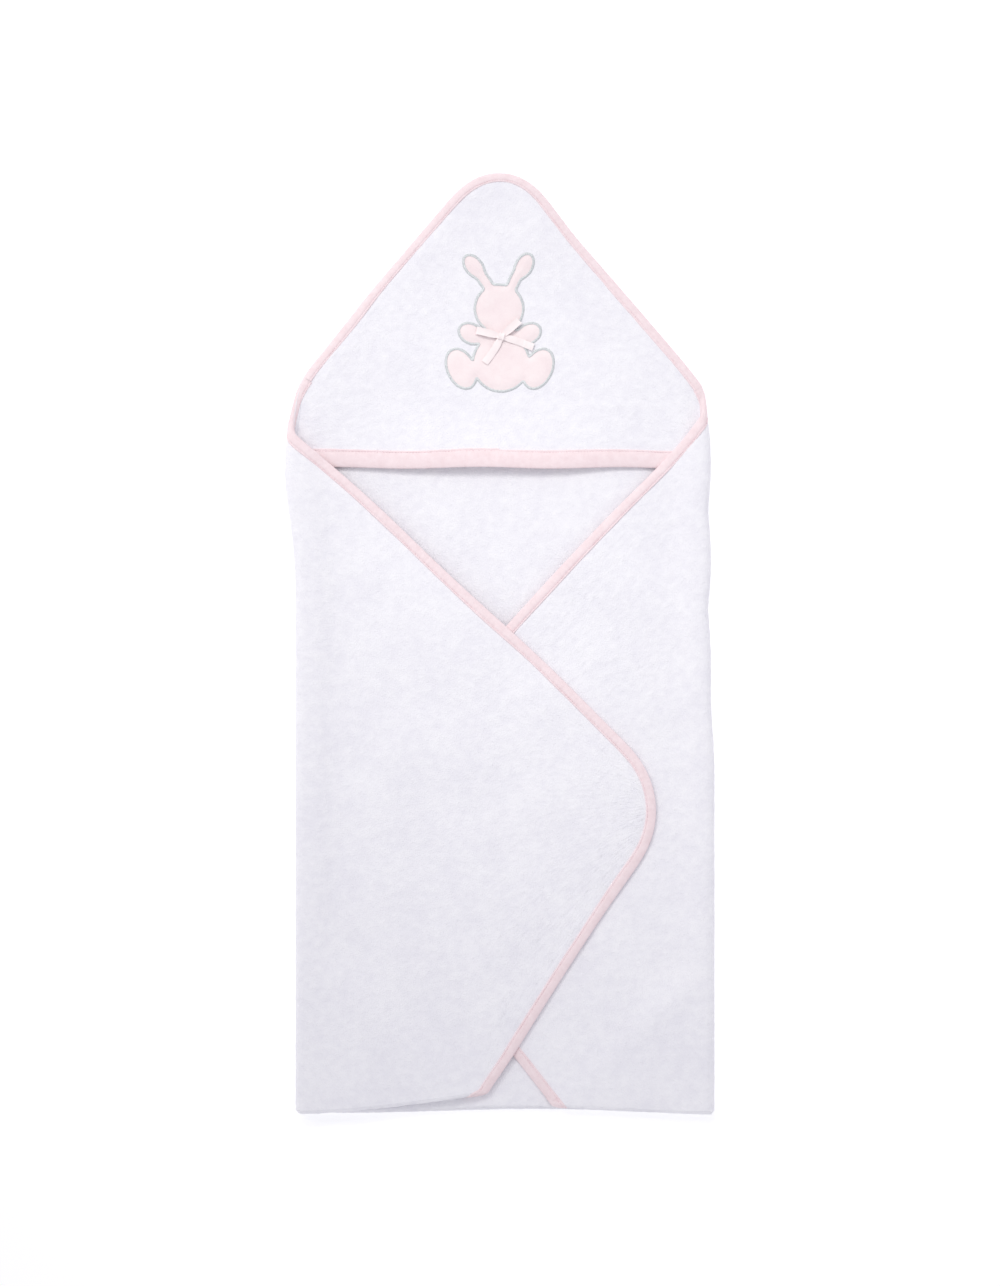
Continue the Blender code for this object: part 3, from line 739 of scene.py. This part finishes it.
BACK_Z = BACK + 0.9 * MM * edge_sink(HOOD_EDGE, XX, YY)
SURFACE_BACK = laid(BACK_Z)
SURFACE_HOOD = laid(HOOD_Z)
SURFACE_HOOD_EDGE = laid(BACK + STACK)
INSET = 1.2 * MM
TUCKED = 3.9 * MM  # how far the turned-up bottom reaches into the side folds, where it is cut for the joints
EDGE_REACH = 14 * MM
PRESSED = 0.95 * MM  # from the middle of a binding to each of the two cloths that it holds


def hermite(t, a, b, slope_a, slope_b):
    """The curve from a to b with given slopes at both ends."""
    ends = (2 * t**3 - 3 * t**2 + 1) * a + (3 * t**2 - 2 * t**3) * b
    return ends + (t**3 - 2 * t**2 + t) * slope_a + (t**3 - t**2) * slope_b


def at_level(z):
    """The map of a cloth that lies flat at one height."""
    return lambda u, v: np.stack([u, v, np.full(np.shape(u), z)], axis=-1)


def same(value):
    """A function that has one value everywhere."""
    return lambda u: np.full(np.shape(u), value)


FOOT_REACH = 143 * MM  # from a side fold to the foot of its flap


class SideFlap:
    """One side of the towel, turned over at its fold: its maps, its flat cut and its edge."""

    def __init__(self, word, side, fold_x, grid, edge, corner_edge, foot_rise, bow):
        self.word, self.side, self.fold_x, self.grid = word, side, fold_x, grid
        self.foot_rise = foot_rise  # of its bottom fold, towards the foot
        self.bow = bow  # of its lower edge, inwards
        level_z, inner_z = level(f"{word}_flap"), level(f"{word}_bottom_corner")
        self.inner_z = inner_z
        self.outer = Turn(fold_x, side, BACK, level_z)
        self.length = self.outer.length
        self.hood_turn = Turn(fold_x, side, HOOD, inner_z, self.length)
        self.corner_turn = Turn(fold_x, side, BOTTOM, inner_z, self.length)
        upright = math.sqrt(1 - SIDE_TILT**2)
        start, along = np.array([fold_x, 0, BACK]), np.array([-side * SIDE_TILT, 0, upright])
        self.blend = ("root", f"{word}_flap", tuple(start), tuple(start + along * (level_z - BACK) * upright))
        self.edge = self.cut_edge(edge if side < 0 else edge[::-1])
        self.corner_edge = corner_edge

    def height(self, x, y):
        return sample(self.grid, x, y)

    def under(self, x, y):
        return np.minimum(self.inner_z, self.height(x, y) - LAYER)

    def stacked(self, u):
        """1 where the binding holds the hood's corner too, falling to 0 where the flap is alone in it."""
        return 1 - smooth_step((u - self.length - 8 * MM) / (24 * MM))

    def thick(self, u):
        return (1.25 + 1.2 * self.stacked(u)) * MM

    def surface(self, u, v):
        near = edge_sink(self.edge, u, v, EDGE_REACH) * self.stacked(u)
        return set_by_hand(self.outer.place(u, v, self.height, (STACK - PRESSED) * near))

    def tape_surface(self, u, v):
        return set_by_hand(self.outer.place(u, v, self.height, STACK * self.stacked(u)))

    def hood_surface(self, u, v):
        near = edge_sink(self.edge, u, v, EDGE_REACH)
        spare = self.outer.radius - STACK - PRESSED - self.hood_turn.radius
        return set_by_hand(self.hood_turn.place(u, v, self.under, -spare * near))

    def cut_edge(self, from_foot):
        """The bound edge in the flat cut, from the bottom fold over the corner and round the side fold to the
        hood's edge."""
        flat = np.stack([self.outer.u_of(from_foot[:, 0]), from_foot[:, 1]], axis=1)
        flat = flat[flat[:, 1] > self.fold_y(from_foot[:, 0])]
        flat = flat[flat[:, 0] > self.length + 0.5 * MM]
        back = flat[-10]
        slope = (flat[-1, 1] - back[1]) / (flat[-1, 0] - back[0]) * self.length
        t = np.linspace(1, 0, 18)[1:]
        root_y = edge_y(HOOD_EDGE, self.fold_x)
        arc = np.stack([t * self.length, hermite(t, root_y, flat[-1, 1], 0.9 * slope, slope)], axis=1)
        path = soften(np.concatenate([flat, arc]), PATH_STEP, 5 * MM)
        run = np.arange(len(path)) * PATH_STEP
        fade = smooth_step(run / 0.06) * smooth_step(run[::-1] / 0.06)
        wander = 1.0 * MM * np.sin(run / 0.037 + self.side) * fade
        wander = wander + self.bow * np.exp(-(((run - 0.19) / 0.08) ** 2))
        path = path + inward_of(path) * wander[:, None]
        path[:, 0] = np.maximum(path[:, 0], 0)
        return path

    def fold_y(self, x):
        """The bottom fold of this flap at an x."""
        return BOTTOM_Y - 0.5 * MM + self.foot_rise * (np.abs(x - self.fold_x) / FOOT_REACH) ** 1.2

    def corner_blend(self):
        """Where the turned-up corner takes over from the flap: square across the bottom fold and just above it. It
        is sharp, because a part turned half-way over would swing out of the cloth."""
        slope = self.foot_rise / FOOT_REACH
        across = np.array([self.side * slope, 1]) / math.hypot(slope, 1)
        fold = np.array([self.fold_x, self.fold_y(self.fold_x)])
        return (*(fold + across * 0.8 * MM), BOTTOM), (*(fold + across * 1.3 * MM), BOTTOM)

    def fold_y_at(self, u):
        return self.fold_y(self.outer.x_of(u))

    def high_v(self, u):
        """The upper edge of the flat cut at each u, a little inside the tape."""
        upper = self.edge[np.argmax(self.edge[:, 0]) :]
        return np.interp(u, upper[::-1, 0], upper[::-1, 1]) - INSET

    def low_v(self, u):
        lower = self.edge[: np.argmax(self.edge[:, 0]) + 1]
        edge = np.interp(u, lower[:, 0], lower[:, 1], left=-1.0) + INSET
        return np.maximum(edge, self.fold_y_at(u))


def bind(name, path, surface, width, thick, nodes, body=None, blend=None):
    """A binding and its two rows of stitches, one on each face."""
    tape = add_tape(f"{name}_binding", path, surface, width, thick)
    thread = add_stitches(f"{name}_topstitch", path, surface, width - STITCH_INSET, thick)
    finish_piece(tape, body, nodes[:1], blend)
    finish_piece(thread, body, nodes[1:], blend)
    return [tape, thread]


def build_back():
    us = columns(LEFT_X, RIGHT_X)
    highs = edge_y(HOOD_EDGE, us) - INSET
    lows = np.full(us.shape, BOTTOM_Y)
    obj = add_cloth("towel_back", us, lows, highs, SURFACE_BACK, [(HOOD_EDGE, HOOD_BINDING)])
    finish_piece(obj, "root", ["back_panel"])
    nodes = ["hood_binding", "hood_stitching"]
    pieces = bind("hood_edge", HOOD_EDGE, SURFACE_HOOD_EDGE, HOOD_BINDING, same(2.45 * MM), nodes, "root")
    SHEETS.append((obj, "laid", ["ground"], pieces))


def build_flap(flap):
    us = columns(0, flap.edge[:, 0].max() - INSET)
    lows = flap.low_v(us)
    highs = np.maximum(flap.high_v(us), lows + 0.5 * MM)
    name = f"towel_{flap.word}_flap"
    obj = add_cloth(name, us, lows, highs, flap.surface, [(flap.edge, FLAP_BINDING)])
    finish_piece(obj, None, [f"{flap.word}_flap", f"{flap.word}_fold"], flap.blend)
    nodes = [f"{flap.word}_binding", f"{flap.word}_stitching"]
    name = f"{flap.word}_flap"
    pieces = bind(name, flap.edge, flap.tape_surface, FLAP_BINDING, flap.thick, nodes, None, flap.blend)
    SHEETS.append((obj, "folded", ["towel_back"], pieces))


def build_hood_corner(flap):
    """The end of the hood, which goes round the side fold inside the towel and lies under the flap."""
    over = flap.edge[np.argmax(flap.edge[:, 0]) :]
    reach = float(np.interp(BAND_Y + BAND_WIDTH, over[:, 1], over[:, 0]))
    us = columns(0, reach)
    lows = np.full(us.shape, BAND_Y + INSET)
    highs = np.maximum(flap.high_v(us), lows + 0.5 * MM)
    xs = columns(0, reach, PATH_STEP)
    path = np.stack([xs, np.full(len(xs), BAND_Y)], axis=1)
    bound = [(flap.edge, FLAP_BINDING), (path, BAND_WIDTH)]
    name = f"hood_corner_{flap.word}_terry"
    obj = add_cloth(name, us, lows, highs, flap.hood_surface, bound, ease=0.85)
    finish_piece(obj, None, [f"hood_corner_{flap.word}"], flap.blend)
    name = f"hood_band_end_{flap.word}_tape"
    tape = add_tape(name, path, flap.hood_surface, BAND_WIDTH, same(1.15 * MM))
    finish_piece(tape, None, [f"hood_band_end_{flap.word}"], flap.blend)
    SHEETS.append((obj, "folded", ["towel_back"], [tape]))


def build_bottom_flap():
    """The bottom corner, turned up over the back between the side folds."""
    surface, length = turned_up(at_level(BACK), at_level(BOTTOM), same(BOTTOM_Y), (BOTTOM - BACK) / 2)
    us = columns(LEFT_X - TUCKED, RIGHT_X + TUCKED)
    highs = length + edge_y(BOTTOM_EDGE, us) - BOTTOM_Y - INSET
    edge = BOTTOM_EDGE + np.array([0, length - BOTTOM_Y])
    bound = [(edge, FLAP_BINDING)]
    obj = add_cloth("towel_bottom_flap", us, np.zeros(us.shape), highs, surface, bound)
    blend = ("root", "bottom_flap", (0, BOTTOM_Y - 0.6 * MM, BACK), (0, BOTTOM_Y + 0.9 * MM, BOTTOM))
    finish_piece(obj, None, ["bottom_flap", "bottom_fold"], blend)
    nodes = ["bottom_binding", "bottom_stitching"]
    pieces = bind("bottom_flap", edge, surface, FLAP_BINDING, same(1.1 * MM), nodes, "bottom_flap")
    SHEETS.append((obj, "folded", ["towel_back"], pieces))


def build_bottom_corner(flap):
    """The side flap's own end of the turned-up bottom: round the side fold in one piece, and under the flap in
    another, each given its own blend between two bodies."""
    radius = (flap.outer.high_z - flap.corner_turn.high_z) / 2

    def corner_map(place):
        def start(u, y):
            return place(flap.outer, u, y, flap.height)

        def end(u, y):
            return place(flap.corner_turn, u, y, flap.under)

        return turned_up(start, end, flap.fold_y_at, radius)

    surface, length = corner_map(Turn.place)
    flat_surface, _ = corner_map(Turn.lay_flat)
    corner = flap.corner_edge if flap.side < 0 else flap.corner_edge[::-1]  # from the foot to the side fold
    flat = np.stack([flap.outer.u_of(corner[:, 0]), corner[:, 1]], axis=1)
    bottom_end = edge_y(BOTTOM_EDGE, flap.fold_x)
    around = np.linspace(1, 0, 14)[1:]
    joined = flat[-1, 1] * around + bottom_end * (1 - around)
    flat = np.concatenate([flat, np.stack([around * flap.length, joined], axis=1)])
    foot = float(np.interp(0, flap.edge[:6, 1] - flap.fold_y_at(flap.edge[:6, 0]), flap.edge[:6, 0]))
    slope = (flap.edge[8, 0] - flap.edge[0, 0]) / (flap.edge[8, 1] - flap.edge[0, 1])
    edge = np.stack([flat[:, 0], length + flat[:, 1] - BOTTOM_Y], axis=1)
    edge = edge[(edge[:, 0] < foot - slope * length - 6 * MM) & (edge[:, 1] > length + 2 * MM)]
    overlap = 5 * MM
    turn_path = [[foot + slope * overlap, -overlap], [foot, 0], [foot - slope * length, length]]
    edge = soften(np.concatenate([turn_path, edge]), PATH_STEP, 3 * MM)
    rolled, flat_part = edge[edge[:, 0] <= flap.length], edge[edge[:, 0] >= flap.length - 1 * MM]
    parts = {
        f"towel_{flap.word}_corner_roll": (0, flap.length, rolled, flap.blend),
        f"towel_{flap.word}_corner": (flap.length - TUCKED, foot - INSET, flat_part, None),
    }
    for name, (first, last, path, blend) in parts.items():
        us = columns(first, last)
        highs = np.maximum(np.interp(us, edge[::-1, 0], edge[::-1, 1]) - INSET, 1 * MM)
        cloth_surface, ease = (surface, 0.6) if blend else (flat_surface, 1.0)
        bound = [(edge, FLAP_BINDING)]
        obj = add_cloth(name, us, np.zeros(us.shape), highs, cloth_surface, bound, ease=ease)
        nodes = [] if blend else [f"{flap.word}_bottom_corner", f"{flap.word}_bottom_fold"]
        tape_nodes = [] if blend else [f"{flap.word}_corner_binding", f"{flap.word}_corner_stitching"]
        turn = blend or (f"{flap.word}_flap", f"{flap.word}_corner", *flap.corner_blend())
        finish_piece(obj, None, nodes, turn)
        hem = name.replace("towel_", "") + "_hem"
        pieces = bind(hem, path, surface, FLAP_BINDING, same(1.1 * MM), tape_nodes, None, turn)
        SHEETS.append((obj, "folded", ["towel_back"], pieces))


# ---------------- the hood


def hood_blend(side):
    """Across the slanted line where one half of the hood begins to lift."""
    apex = np.array([APEX_X, APEX_Y])
    foot = np.array([MOUTH[0] if side < 0 else MOUTH[1], BAND_Y])
    along = (foot - apex) / np.linalg.norm(foot - apex)
    across = np.array([-along[1], along[0]]) * side
    across = across if across[1] < 0 else -across
    deep = np.dot(np.array([APEX_X, BAND_Y]) - apex, across)
    start, end = apex, apex + across * deep
    return "root", "hood_front", (start[0], start[1], HOOD), (end[0], end[1], HOOD)


def build_hood():
    for side, word in ((-1, "left"), (1, "right")):
        first, last = (LEFT_X, APEX_X) if side < 0 else (APEX_X, RIGHT_X)
        us = columns(first, last)
        lows = np.full(us.shape, BAND_Y + INSET)
        highs = edge_y(HOOD_EDGE, us) - INSET
        xs = columns(first, last, PATH_STEP)
        path = np.stack([xs, BAND_Y + 0.7 * MM * np.sin((xs - LEFT_X) / 0.019)], axis=1)
        bound = [(HOOD_EDGE, HOOD_BINDING), (path, BAND_WIDTH)]
        obj = add_cloth(f"hood_terry_{word}", us, lows, highs, SURFACE_HOOD, bound)
        nodes = [f"hood_{word}"] + (["hood_front"] if side < 0 else [])
        finish_piece(obj, None, nodes, hood_blend(side))
        band = [f"hood_band_{word}", f"hood_band_{word}_stitching"]
        middle = ["hood_band", "hood_band_stitching"] if side < 0 else []
        thick, inset = same(1.2 * MM), BAND_WIDTH - STITCH_INSET
        tape = add_tape(f"hood_front_band_{word}", path, SURFACE_HOOD, BAND_WIDTH, thick)
        name = f"hood_front_topstitch_{word}"
        thread = add_stitches(name, path, SURFACE_HOOD, inset, thick)
        finish_piece(tape, None, band[:1] + middle[:1], hood_blend(side))
        finish_piece(thread, None, band[1:] + middle[1:], hood_blend(side))
        SHEETS.append((obj, "laid", ["towel_back"], [tape, thread]))


build_back()
LEFT_SIDE = SideFlap("left", -1, LEFT_X, LEFT_Z, LEFT_EDGE, LEFT_CORNER_EDGE, 13.5 * MM, 4 * MM)
RIGHT_SIDE = SideFlap("right", 1, RIGHT_X, RIGHT_Z, RIGHT_EDGE, RIGHT_CORNER_EDGE, 3.5 * MM, 0)
for side_flap in (LEFT_SIDE, RIGHT_SIDE):
    build_flap(side_flap)
    build_hood_corner(side_flap)
    build_bottom_corner(side_flap)
build_bottom_flap()
build_hood()

# ---------------- the rabbit and its bow


def hood_top(x, y):
    """The hood's upper face, on which the rabbit is sewn."""
    return sample(HOOD_Z, x, y) + TERRY / 2


def top_outline(node):
    """The loop round the upper face of a CAD node, counter-clockwise."""
    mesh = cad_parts[node].data
    top = max(v.co.z for v in mesh.vertices)
    edges = set()
    for polygon in mesh.polygons:
        corners = [mesh.vertices[i].co for i in polygon.vertices]
        if all(top - c.z < 0.01 * MM for c in corners):
            ids = [(round(c.x, 6), round(c.y, 6)) for c in corners]
            edges.update(zip(ids, ids[1:] + ids[:1]))
    after = {a: b for a, b in edges if (b, a) not in edges}
    loop = [min(after)]
    while after[loop[-1]] != loop[0]:
        loop.append(after[loop[-1]])
    return np.array(loop)


def round_loop(loop, step, sigma):
    """A closed loop at even steps, with its corners rounded."""
    closed = resample(np.concatenate([loop, loop[:1]]), step)[:-1]
    reach = int(3 * sigma / step)
    return averaged(np.concatenate([closed[-reach:], closed, closed[:reach]]), bell(reach, sigma / step))


def within(loop, x, y):
    """Whether points lie within any closed loop."""
    found = np.zeros(np.shape(x), bool)
    for a, b in zip(loop, np.roll(loop, -1, axis=0)):
        if a[1] != b[1]:
            crosses = (a[1] > y) != (b[1] > y)
            found ^= crosses & (x < (b[0] - a[0]) * (y - a[1]) / (b[1] - a[1]) + a[0])
    return found


PAD_STEP = 0.8 * MM
PAD_RISE = 1.1 * MM


def pad_height(loop, x, y):
    """The rabbit is softly filled: it rises from its outline within a few millimetres."""
    return 0.2 * MM + PAD_RISE * smooth_step(0.2 + distance(loop, x, y) / (9 * MM))


def build_rabbit():
    """The velour rabbit, filled a little, and its outline. Gives the loop that they follow."""
    loop = round_loop(top_outline("rabbit_applique"), 0.45 * MM, 2.0 * MM)
    xs = np.arange(loop[:, 0].min() - PAD_STEP, loop[:, 0].max() + 2 * PAD_STEP, PAD_STEP)
    ys = np.arange(loop[:, 1].min() - PAD_STEP, loop[:, 1].max() + 2 * PAD_STEP, PAD_STEP)
    x, y = np.meshgrid(xs, ys, indexing="ij")
    kept = within(loop, x, y)
    cells = kept[:-1, :-1] & kept[1:, :-1] & kept[1:, 1:] & kept[:-1, 1:]
    base = hood_top(x, y)
    fuzz = 0.04 * MM * RNG.standard_normal(x.shape)
    upper = np.stack([x, y, base + pad_height(loop, x, y) + fuzz], axis=-1).reshape(-1, 3)
    lower = np.stack([x, y, base - 0.3 * MM], axis=-1).reshape(-1, 3)
    rows, under = len(ys), len(upper)
    faces = []
    for i, j in zip(*np.nonzero(cells)):
        ring = [i * rows + j, (i + 1) * rows + j, (i + 1) * rows + j + 1, i * rows + j + 1]
        faces.append(ring)
        faces.append([k + under for k in reversed(ring)])
        beside = [(i, j - 1), (i + 1, j), (i, j + 1), (i - 1, j)]
        for k, (a, b) in enumerate(beside):
            if not cells[a, b]:
                first, last = ring[k], ring[(k + 1) % 4]
                faces.append([last, first, first + under, last + under])
    used = sorted({k for f in faces for k in f})
    number = {k: n for n, k in enumerate(used)}
    points = np.concatenate([upper, lower])[used]
    faces = [[number[k] for k in f] for f in faces]
    pad = new_object("rabbit_velour", points, faces, MATERIALS["velour_pink"])
    finish_piece(pad, "root", ["rabbit_applique"])
    PADDED.append((pad, 0.4))
    satin = build_satin(loop)
    finish_piece(satin, "root", ["rabbit_satin_stitch"])
    return loop


def build_satin(loop):
    """Satin stitch: threads side by side across the outline, each an arch from the velour to the terry."""
    along = unit(np.roll(loop, -1, axis=0) - np.roll(loop, 1, axis=0))
    outward = np.stack([along[:, 1], -along[:, 0]], axis=1)
    arch = np.array([0.0, 0.62, 0.95, 1.0, 0.7, 0.0])
    angles = np.linspace(0, 2 * math.pi, 6)[:-1]
    radius = 0.26 * MM
    points, faces = [], []
    for n, (p, t, o) in enumerate(zip(loop, along, outward)):
        reach = np.linspace(-0.85, 1.25, 6) * MM + RNG.normal(0, 0.07) * MM
        at = p[None] + o[None] * reach[:, None] + t[None] * RNG.normal(0, 0.04) * MM
        floor = hood_top(at[:, 0], at[:, 1]) + np.interp(reach, [-0.9 * MM, 0.9 * MM], [0.6 * MM, -0.15 * MM])
        centre = np.concatenate([at, (floor + arch * 0.75 * MM)[:, None]], axis=1)
        across = np.array([t[0], t[1], 0.0])
        up = np.cross(unit(np.gradient(centre, axis=0)), across)
        points.append(centre[:, None] + circles(across[None], -up, angles) * radius)
        faces += tube_faces(6, 5, n * 30)
    return new_object("rabbit_outline", np.array(points), faces, MATERIALS["satin_thread_grey"])


RIBBON_THICK = 0.4 * MM


def add_ribbon(node, flat, z, bend, width):
    """A ribbon along a line in plan, at the heights in z, with its width along bend."""
    centre = np.concatenate([flat, z[:, None]], axis=1)
    across = np.repeat([[bend[0], bend[1], 0.0]], len(flat), axis=0)
    count = 9
    side = np.linspace(-0.5, 0.5, count)
    curl = 0.25 * MM * (1 - (2 * side) ** 2)
    up = unit(np.cross(unit(np.gradient(centre, axis=0)), across))
    middle = centre[:, None] + across[:, None] * (side * width[:, None])[..., None]
    middle = middle + up[:, None] * curl[None, :, None]
    stations = len(centre)
    upper, lower = middle + up[:, None] * RIBBON_THICK / 2, middle - up[:, None] * RIBBON_THICK / 2
    points = np.concatenate([upper.reshape(-1, 3), lower.reshape(-1, 3)])
    faces = [grid_faces(stations, count), grid_faces(stations, count, stations * count, flip=True)]
    faces.append(rim_faces(stations, count))
    obj = new_object(f"{node}_ribbon", points, np.concatenate(faces), MATERIALS["ribbon_pink"])
    finish_piece(obj, "root", [node])


def arm(node):
    """An arm of the bow, from the knot to its far end: its direction and length, as its CAD node has them."""
    knot = (low("bow_knot") + high("bow_knot"))[:2] / 2
    points = np.array([v.co[:2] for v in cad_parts[node].data.vertices])
    away = points - knot
    far = away[np.linalg.norm(away, axis=1) > 0.93 * np.linalg.norm(away, axis=1).max()].mean(axis=0)
    return knot, far / np.linalg.norm(far), float((away @ (far / np.linalg.norm(far))).max())


RIBBON_WIDTH = 6.3 * MM


def build_bow(loop):
    """Two tails, two loops over them, and the knot, all lying on the rabbit and the hood beside it."""

    def rest(p):
        above = np.where(within(loop, p[:, 0], p[:, 1]), pad_height(loop, p[:, 0], p[:, 1]), 0.9 * MM)
        return hood_top(p[:, 0], p[:, 1]) + above

    for node in ("bow_left_tail", "bow_right_tail"):
        knot, way, long = arm(node)
        bend = np.array([-way[1], way[0]])
        t = np.linspace(0.06, 1, 26)
        flat = knot + way * (t * long)[:, None] + bend * (0.8 * MM * np.sin(t * 3.0))[:, None]
        clear = (0.35 + 0.9 * (1 - t) ** 2 + 0.5 * np.sin(t * 5) ** 2 * t) * MM
        lying = rest(flat)
        spanning = np.maximum.accumulate(lying[::-1])[::-1]
        z = spanning * 0.4 + lying * 0.6 + clear
        add_ribbon(node, flat, z, bend, RIBBON_WIDTH * (0.72 + 0.28 * smooth_step(t * 3)))
    for node in ("bow_left_loop", "bow_right_loop"):
        knot, way, long = arm(node)
        bend = np.array([-way[1], way[0]])
        t = np.linspace(0, 1, 44)
        reach = long * np.sin(t * math.pi) ** 0.8 * 0.995
        flat = knot + way * np.maximum(reach, 0.8 * MM)[:, None]
        tall = 1.05 * MM * np.sin(np.clip(reach / long, 0, 1) * math.pi * 0.62) + 0.35 * MM
        z = rest(flat).max() + 0.6 * MM + tall * (1 - np.cos(t * math.pi))
        add_ribbon(node, flat, z, bend, RIBBON_WIDTH * (0.62 + 0.38 * smooth_step(reach / long * 2.2)))
    build_knot(rest)


def build_knot(rest):
    """The ribbon's last turn round the middle of the bow."""
    knot, way, _ = arm("bow_left_loop")
    bend = np.array([-way[1], way[0]])
    base = float(rest(knot[None])[0])
    t = np.linspace(0, 2 * math.pi, 40)[:-1]
    half_wide, half_tall = 0.55 * RIBBON_WIDTH, 1.75 * MM
    tall = np.abs(np.sin(t)) ** 0.75 * np.sign(np.sin(t)) * half_tall
    ring = np.stack([np.cos(t) * half_wide, tall], axis=1)
    side = np.linspace(-1, 1, 11)
    pinch = 1 - 0.16 * (1 - side**2) + 0.03 * np.cos(side * 9)
    points = []
    for s, k in zip(side, pinch):
        p = knot + way * s * 0.36 * RIBBON_WIDTH
        flat = p[None] + bend[None] * (ring[:, 0] * k)[:, None]
        points.append(np.concatenate([flat, (base + 1.9 * MM + ring[:, 1] * k)[:, None]], axis=1))
    faces = tube_faces(len(side), len(t), flip=True)
    knot_piece = new_object("bow_knot_ribbon", np.array(points), faces, MATERIALS["ribbon_pink"])
    finish_piece(knot_piece, "root", ["bow_knot"])
    PADDED.append((knot_piece, 0.8))


def build_label():
    """The blank care label, caught under the bottom corner's binding."""
    bottom, top = low("care_label"), high("care_label")
    us = np.linspace(bottom[0], top[0], 24)
    z = (bottom[2] + top[2]) / 2
    lows = np.full(us.shape, bottom[1])
    highs = np.full(us.shape, top[1])

    def surface(u, v):
        crinkle = 0.12 * MM * np.sin((v - bottom[1]) / (6 * MM)) * np.sin((u - bottom[0]) / (9 * MM))
        return set_by_hand(np.stack([u, v, z + crinkle], axis=-1))

    obj = add_cloth("care_label_tape", us, lows, highs, surface, (), "label_white", 0.35 * MM, 1 * MM, 0.0)
    finish_piece(obj, "bottom_flap", ["care_label"])
    SHEETS.append((obj, "folded", ["towel_back"], []))


build_bow(build_rabbit())
build_label()

for sheet, held, rests_on, with_pieces in SHEETS:
    width, long, area = FLAT[sheet.name]
    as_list(rests_on)
    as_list(with_pieces)
for pad, fill in PADDED:
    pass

# ---------------- floor, light and camera

VIEW_X, VIEW_Y = -4.3 * MM, 0.0
VIEW_TALL = 1.094
FLOOR_GLOW = 0.3
AMBIENT = 0.75
KEY_COLOUR, KEY_SIZE, KEY_POWER = (1.0, 0.985, 0.94), 0.42, 78
KEY_SPREAD = math.radians(22)
KEY_PLACES = ((-1.8, 1.4, 2.4), (-1.0, 2.2, 2.4), (-0.1, 2.0, 2.4))
KEY_AIM = (0.02, 0.12, 0)


def build_stage():
    reach = 6
    corners = [(-reach, -reach, -MM), (reach, -reach, -MM), (reach, reach, -MM), (-reach, reach, -MM)]
    material, shader, tree = new_material("pale_floor", (0.93, 0.93, 0.935), 0.9, 0.0)
    shader.inputs["Emission Color"].default_value = (1, 1, 1, 1)
    shader.inputs["Emission Strength"].default_value = FLOOR_GLOW
    where = object_coordinates(tree)
    add_bump(tree, shader, (noise(tree, where, 300, 2), 0.05 * MM, 0.1))
    new_object("floor", corners, [(0, 1, 2, 3)], material)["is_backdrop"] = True


def add_key(name, place):
    data = bpy.data.lights.new(name, "SPOT")
    data.spot_size, data.spot_blend, data.shadow_soft_size = KEY_SPREAD, 1.0, KEY_SIZE
    data.energy, data.color = KEY_POWER, KEY_COLOUR
    light = bpy.data.objects.new(name, data)
    bpy.context.scene.collection.objects.link(light)
    light.location = place
    away = mathutils.Vector(place) - mathutils.Vector(KEY_AIM)
    light.rotation_euler = away.to_track_quat("Z", "Y").to_euler()


def build_light():
    world = bpy.data.worlds.new("studio")
    world.use_nodes = True
    background = world.node_tree.nodes["Background"]
    background.inputs["Color"].default_value = (0.95, 0.945, 1.0, 1)
    background.inputs["Strength"].default_value = AMBIENT
    bpy.context.scene.world = world
    for number, place in enumerate(KEY_PLACES):
        add_key(f"key_{number}", place)


def build_camera():
    data = bpy.data.cameras.new("camera")
    data.lens, data.sensor_width = 100, 36
    distance_up = VIEW_TALL * data.lens / data.sensor_width
    data.clip_end = 100
    camera = bpy.data.objects.new("camera", data)
    bpy.context.scene.collection.objects.link(camera)
    camera.location = (VIEW_X, VIEW_Y, distance_up + HOOD)
    bpy.context.scene.camera = camera


build_stage()
build_light()
build_camera()
bpy.context.scene.view_settings.view_transform = "Standard"

boxes = {"cad": CAD_BOX, "visual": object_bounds()}
{key: [list(corner) for corner in box] for key, box in boxes.items()}
